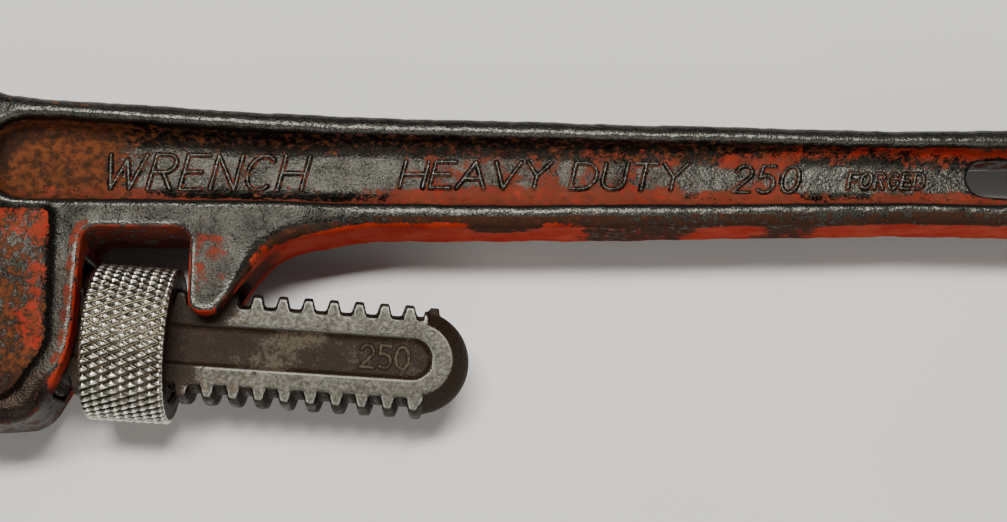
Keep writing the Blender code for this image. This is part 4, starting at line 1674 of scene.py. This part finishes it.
@dataclass
class HeelJaw:
    """The toothed heel jaw: a block on the head's end face with a tongue in its seat."""

    places: Places
    material: bpy.types.Material
    tip_x: float = -43.0
    back_x: float = -37.6
    low_y: float = 14.6
    high_y: float = 42.1
    teeth: int = 11
    tooth_depth: float = 1.3
    half_width: float = 7.5
    tongue_back: float = -30.9
    tongue_low: float = 15.9
    tongue_high: float = 41.5
    tongue_half: float = 4.2
    bend_reach: float = 0.6
    room: tuple[Corner, Corner] = ((-43.6, 14.0, -8.1), (-30.3, 42.8, 8.1))
    voxel: float = 0.2

    def build(self) -> Piece:
        """Mesh the jaw and store where it is worn, and where painted shade darkens its hollows.

        Returns:
            The heel jaw.
        """
        space = Voxels(*self.room, voxel_step(self.voxel))
        x, y, z = space.x, space.y, np.abs(space.z)
        row = tooth_corners(Vector((self.tip_x, self.high_y)), Vector((self.tip_x, self.low_y)),
                            self.teeth, self.tooth_depth)
        block = Outline((*row, (self.back_x, self.low_y, 0.8), (self.back_x, self.high_y, 0.8)))
        body = both(block.distance(x, y), z - self.half_width, 0.4)
        tongue = bar(self.back_x - 1.0, self.tongue_back, self.tongue_low, self.tongue_high)
        tongue = both(tongue.distance(x, y), z - self.tongue_half, 0.3)
        body = either(body, tongue, 0.25)
        hole = np.sqrt((x - PIN_AT[0]) ** 2 + (y - PIN_AT[1]) ** 2) - PIN_HOLE_RADIUS
        body = less(body, hole, 0.3)
        points, quads = space.skin(body)
        bend = space.bend(body, points, self.bend_reach)
        mesh = mesh_from("heel_jaw", self.places.handle.to_world(points), quads)
        paint_on(mesh, "wear", 0.08 + 0.9 * ease(bend, 0.04, 0.2))
        # Hollows are darkened: painted shade.
        paint_on(mesh, "grime_and_shade", 0.15 + 0.7 * ease(-bend, 0.04, 0.16))
        return Piece("heel_jaw_block", mesh, Body.HANDLE, Slot.JAW, self.material,
                     ("heel_jaw",))


@dataclass
class HeelJawPin:
    """The pin across the head that keeps the heel jaw in its seat."""

    places: Places
    material: bpy.types.Material
    radius: float = 1.9
    half_length: float = 8.6
    sides: int = 48

    def build(self) -> Piece:
        """Turn the pin, with slightly domed ends.

        Returns:
            The pin.
        """
        end = [(self.half_length, 0.0), (self.half_length, 0.5), (self.half_length - 0.06, 1.1),
               (self.half_length - 0.2, 1.5), (self.half_length - 0.42, 1.78),
               (self.half_length - 0.7, self.radius)]
        profile = end + [(0.0, self.radius)] + [(-along, width) for along, width in end[::-1]]
        points, quads = turned(profile, self.sides)
        swapped = np.stack([PIN_AT[0] + points[:, 1], PIN_AT[1] + points[:, 2],
                            points[:, 0]], axis=1)
        mesh = mesh_from("heel_jaw_pin", self.places.handle.to_world(swapped), quads[:, ::-1])
        ends = ease(np.abs(points[:, 0]), self.half_length - 0.8, self.half_length - 0.3)
        paint_on(mesh, "wear", 0.2 + 0.35 * ends)
        paint_on(mesh, "grime_and_shade", 0.3 - 0.1 * ends)
        return Piece("heel_jaw_cross_pin", mesh, Body.HANDLE, Slot.PIN, self.material,
                     ("heel_jaw_pin",))


# ---------------------------------------------------------------- nut

@dataclass
class AdjustingNut:
    """The round knurled nut that moves the hook jaw along its thread."""

    places: Places
    material: bpy.types.Material
    radius: float = 12.33
    half_width: float = 6.32
    skin: float = 0.02
    chamfer: float = 0.45
    chamfer_reach: float = 0.6
    lip_drop: float = 0.12
    diamonds: int = 53
    knurl_angle: float = 27.0
    deep: float = 0.52
    shallow: float = 0.40
    uneven: float = 0.16
    thread_gap: float = 0.16
    mouth_radius: float = 9.5
    mouth_slope: float = 0.9
    relief_radius: float = 8.95
    relief_run: tuple[float, float] = (-1.2, -0.2)
    dish: float = 0.1
    face_rings: int = 7
    columns: int = 900

    def knurl(self, angle: np.ndarray, along: np.ndarray) -> np.ndarray:
        """Return how far the knurl lies below the rim radius.

        Args:
            angle: Angles about the nut's axis.
            along: Places along it.

        Returns:
            The depth of the two crossing families of grooves.
        """
        turns = angle / math.tau * self.diamonds
        pitch = math.tau * self.radius / self.diamonds
        slant = along * math.tan(math.radians(self.knurl_angle)) / pitch
        depths = []
        for phase, depth, waver in ((turns + slant, self.deep, 5),
                                    (turns - slant, self.shallow, 8)):
            swell = np.sin(waver * angle + 0.9 * along) * np.sin(3 * angle - along)
            ridge = np.abs((phase % 1.0) - 0.5) * 2.0
            depths.append(depth * (1.0 + self.uneven * swell) * ease(ridge, 0.12, 0.98))
        return np.maximum(*depths)

    def bore(self, along: np.ndarray, angles: np.ndarray) -> np.ndarray:
        """Shape the bore: an internal thread, a relief on one side and two flared mouths.

        Args:
            along: Places along the nut's axis.
            angles: Angles about it.

        Returns:
            The bore's radii.
        """
        thread = THREAD.radius_at(THREAD.from_crest(along, angles)) + self.thread_gap
        mouth = self.mouth_radius - (self.half_width - np.abs(along)) * self.mouth_slope
        relief = self.relief_radius * ease(along, *self.relief_run)
        return np.maximum(thread, np.maximum(mouth, relief))

    def build(self) -> Piece:
        """Sweep the nut's closed profile round its axis.

        Returns:
            The nut.
        """
        columns = self.columns
        rows = columns * 2 // 15
        angles = np.arange(columns)[None, :] * math.tau / columns
        outer = np.linspace(-self.half_width, self.half_width, rows)[:, None]
        depth = self.knurl(angles, outer)
        to_rim = self.half_width - np.abs(outer)
        lip = ease(to_rim, -0.1, 0.3)
        rise = np.clip(to_rim / self.chamfer_reach, 0, 1)
        round_off = self.chamfer * (1.0 - np.sqrt(1.0 - (1.0 - rise) ** 2))
        outer_radius = (self.radius - self.skin - depth * lip - self.lip_drop * (1.0 - lip)
                        - round_off)
        inner = np.linspace(self.half_width, -self.half_width, rows)[:, None]
        inner_radius = self.bore(inner, angles)
        face = np.linspace(0.0, 1.0, self.face_rings + 2)[1:-1, None]
        right = outer_radius[-1:] * (1 - face) + inner_radius[:1] * face
        left = inner_radius[-1:] * (1 - face) + outer_radius[:1] * face
        ones = np.ones((1, columns))
        dish = self.dish * np.sin(face * math.pi)
        along = np.concatenate([outer * ones, (self.half_width - dish) * ones, inner * ones,
                                (dish - self.half_width) * ones])
        radii = np.concatenate([outer_radius, right, inner_radius, left])
        turn = np.broadcast_to(angles, radii.shape)
        points = np.stack([along, radii * np.cos(turn), radii * np.sin(turn)], axis=-1)
        quads = ring_quads(radii.shape[0], columns, wrap=True)
        world = self.places.shank.to_world(points.reshape(-1, 3))
        mesh = mesh_from("adjusting_nut", world, quads)
        tip = np.zeros(radii.shape)
        # Tip falls from the knurl's crests into its grooves, where the material paints shade.
        tip[:rows] = 1.0 - depth / self.deep * lip - 0.3 * (1.0 - lip)
        oil = np.full(radii.shape, 0.95)
        oil[:rows] = 0.05
        paint_on(mesh, "tip", tip.ravel())
        paint_on(mesh, "oil", oil.ravel())
        return Piece("adjusting_nut_knurled", mesh, Body.NUT, Slot.NUT, self.material,
                     ("adjusting_nut",))


# ---------------------------------------------------------------- springs

@dataclass
class CoilSpring:
    """The coil spring between the leaf and the top of its bore."""

    places: Places
    material: bpy.types.Material
    low: float = 10.87
    high: float = 21.88
    radius: float = 2.55
    wire: float = 0.42
    turns: int = 5
    flat_turn: float = 0.4
    steps_a_turn: int = 36
    sides: int = 14

    def build(self) -> Piece:
        """Sweep the wire along the coil, whose first and last part of a turn lie flat.

        Returns:
            The coil spring.
        """
        steps = self.turns * self.steps_a_turn
        turn = np.linspace(0.0, self.turns, steps + 1)
        rise = np.clip((turn - self.flat_turn) / (self.turns - 2 * self.flat_turn), 0.0, 1.0)
        angle = turn * math.tau
        middle = np.stack([SPRING_X + self.radius * np.cos(angle),
                           self.low + (self.high - self.low) * rise,
                           self.radius * np.sin(angle)], axis=1)
        ahead = np.gradient(middle, axis=0)
        ahead /= np.linalg.norm(ahead, axis=1)[:, None]
        out = np.stack([np.cos(angle), np.zeros_like(angle), np.sin(angle)], axis=1)
        side = np.cross(ahead, out)
        around = np.arange(self.sides) * math.tau / self.sides
        size = np.full(steps + 1, self.wire)
        size[0] = size[-1] = 1e-3
        rings = (middle[:, None, :] + size[:, None, None]
                 * (np.cos(around)[None, :, None] * out[:, None, :]
                    + np.sin(around)[None, :, None] * side[:, None, :]))
        points = rings.reshape(-1, 3)
        quads = ring_quads(steps + 1, self.sides, wrap=False)
        mesh = mesh_from("coil_spring", self.places.shank.to_world(points), quads)
        paint_on(mesh, "wear", np.full(len(points), 0.25))
        paint_on(mesh, "grime_and_shade", np.full(len(points), 0.35))
        return Piece("coil_spring_wire", mesh, Body.HANDLE, Slot.SPRING, self.material,
                     ("coil_spring",))


@dataclass
class FlatSpring:
    """The leaf that lies along the shank's front and carries the coil spring's push."""

    places: Places
    material: bpy.types.Material
    ends: tuple[float, float] = (-35.0, -10.5)
    low: float = 9.35
    thickness: float = 0.8
    tab_top: float = 11.4
    half_width: float = 3.4
    hole_radius: float = 1.25
    margin: float = 0.5
    voxel: float = 0.13

    def build(self) -> Piece:
        """Mesh the leaf with its turned-up tab and rivet hole.

        Returns:
            The leaf.
        """
        left, right = self.ends
        reach = self.half_width + self.margin
        space = Voxels((left - self.margin, self.low - self.margin, -reach),
                       (right + self.margin, self.tab_top + self.margin, reach),
                       voxel_step(self.voxel))
        top = self.low + self.thickness
        shape = Outline(((left, self.low, 0.2), (right, self.low, 0.78),
                         (right, self.tab_top, 0.2), (right - self.thickness, self.tab_top, 0.2),
                         (right - self.thickness, top, 0.3), (left, top, 0.2)))
        plan = Outline(((left, -self.half_width, 1.0), (right, -self.half_width, 0.3),
                        (right, self.half_width, 0.3), (left, self.half_width, 1.0)))
        body = both(shape.distance(space.x, space.y), plan.distance(space.x, space.z), 0.15)
        hole = np.sqrt((space.x - SPRING_X) ** 2 + space.z ** 2) - self.hole_radius
        body = less(body, hole, 0.1)
        points, quads = space.skin(body)
        mesh = mesh_from("flat_spring", self.places.shank.to_world(points), quads)
        paint_on(mesh, "wear", np.full(len(points), 0.3))
        paint_on(mesh, "grime_and_shade", np.full(len(points), 0.3))
        return Piece("flat_spring_leaf", mesh, Body.LEAF, Slot.SPRING, self.material,
                     ("flat_spring",))


@dataclass
class SpringRivet:
    """The rivet that keeps the coil spring's foot in place on the leaf."""

    places: Places
    material: bpy.types.Material
    low: float = 9.35
    seat: float = 10.45
    radius: float = 0.95
    head: float = 1.6
    head_rim: float = 0.4
    head_dome: float = 0.7
    dome_steps: int = 7
    sides: int = 32

    def build(self) -> Piece:
        """Turn the rivet's stem and domed head.

        Returns:
            The rivet.
        """
        profile = [(self.low, 0.0), (self.low, self.radius - 0.1), (self.low + 0.1, self.radius),
                   (self.seat, self.radius), (self.seat, self.head - 0.08),
                   (self.seat + 0.1, self.head)]
        for step in range(1, self.dome_steps + 1):
            angle = math.pi / 2 * step / self.dome_steps
            profile.append((self.seat + self.head_rim + self.head_dome * math.sin(angle),
                            self.head * math.cos(angle)))
        points, quads = turned(profile, self.sides)
        swapped = np.stack([SPRING_X + points[:, 1], points[:, 0], points[:, 2]], axis=1)
        mesh = mesh_from("spring_rivet", self.places.shank.to_world(swapped), quads)
        paint_on(mesh, "wear", np.full(len(points), 0.3))
        paint_on(mesh, "grime_and_shade", np.full(len(points), 0.3))
        return Piece("spring_rivet_stem", mesh, Body.LEAF, Slot.PIN, self.material,
                     ("spring_rivet",))


# ---------------------------------------------------------------- studio

@dataclass(frozen=True)
class SoftLight:
    """A rectangular soft light: its place in metres, its size, power in watts and colour."""

    name: str
    place: tuple[float, float, float]
    size: tuple[float, float]
    power: float
    colour: Colour

    def add(self, aim: Vector) -> None:
        """Add the light, facing a point.

        Args:
            aim: The point it faces.
        """
        data = bpy.data.lights.new(self.name, "AREA")
        data.shape = "RECTANGLE"
        data.size, data.size_y = self.size
        data.energy = self.power
        data.color = self.colour
        lamp = bpy.data.objects.new(self.name, data)
        lamp.location = self.place
        lamp.rotation_euler = (aim - Vector(self.place)).to_track_quat("-Z", "Y").to_euler()
        bpy.context.scene.collection.objects.link(lamp)


@dataclass
class Studio:
    """The camera, the soft lights and the pale floor."""

    places: Places
    from_nut: tuple[float, float, float] = (45.50, -34.79, 251.89)
    view: tuple[float, float, float] = (0.0490, 0.1887, -0.9808)
    up: tuple[float, float, float] = (-0.0065, 0.9820, 0.1886)
    lens: float = 56.99
    nearest: float = 0.01
    floor_half: float = 1.2
    aim: tuple[float, float, float] = (0.03, 0.02, 0.0)
    lights: tuple[SoftLight, ...] = (
        SoftLight("key", (-0.05, 0.21, 0.85), (0.50, 0.13), 13.0, (1.0, 0.985, 0.95)),
        SoftLight("fill", (0.1, -0.6, 0.45), (0.8, 0.6), 3.0, (1.0, 0.965, 0.92)))
    room_colour: Colour = (0.82, 0.86, 0.9)
    room_strength: float = 0.12

    def add_camera(self) -> None:
        """Add the camera, close over the nut and the handle, looking almost straight down."""
        data = bpy.data.cameras.new("camera")
        data.lens = self.lens
        data.sensor_width = SENSOR_WIDTH
        data.clip_start = self.nearest
        camera = bpy.data.objects.new("camera", data)
        bpy.context.scene.collection.objects.link(camera)
        back = -Vector(self.view).normalized()
        right = Vector(self.up).cross(back).normalized()
        turn = Matrix((right, back.cross(right), back)).transposed().to_4x4()
        place = self.places.handle.centre + Vector(self.from_nut) * MM
        camera.matrix_world = Matrix.Translation(place) @ turn
        bpy.context.scene.camera = camera

    def add_floor(self) -> None:
        """Add the pale floor."""
        half = self.floor_half
        corners = np.array([[-half, -half, 0.0], [half, -half, 0.0], [half, half, 0.0],
                            [-half, half, 0.0]])
        mesh = mesh_from("floor", corners, np.array([[0, 1, 2, 3]]))
        mesh.materials.append(PaleFloor().material())
        floor = bpy.data.objects.new("floor", mesh)
        bpy.context.scene.collection.objects.link(floor)

    def build(self) -> None:
        """Add the floor, the lights, the surrounding light and the camera."""
        self.add_floor()
        aim = self.places.handle.centre + Vector(self.aim)
        for light in self.lights:
            light.add(aim)
        world = bpy.data.worlds.new("soft_room")
        world.use_nodes = True
        ground = world.node_tree.nodes["Background"]
        ground.inputs["Color"].default_value = (*self.room_colour, 1.0)
        ground.inputs["Strength"].default_value = self.room_strength
        bpy.context.scene.world = world
        self.add_camera()
        LOG.info("studio: floor, %d lights and the camera", len(self.lights))


def main() -> None:
    """Build every piece of the wrench, dress it and set up the studio."""
    logging.basicConfig(level=logging.INFO, format="%(name)s: %(message)s")
    places = Places.from_frame()
    iron = CastIron().material()
    forged = GroundSteel().material()
    blued, pin, hard = (steel.material() for steel in (BLUED_STEEL, PIN_STEEL, JAW_STEEL))
    makers = [
        HandleCasting(places, iron),
        HeelJaw(places, hard),
        HeelJawPin(places, pin),
        HookJaw(places, forged),
        AdjustingNut(places, KnurlSteel().material()),
        CoilSpring(places, blued),
        FlatSpring(places, blued),
        SpringRivet(places, pin),
        *lettering(places, iron, forged),
    ]
    for maker in makers:
        maker.build().add()
    Studio(places).build()


if __name__ == "__main__":
    main()
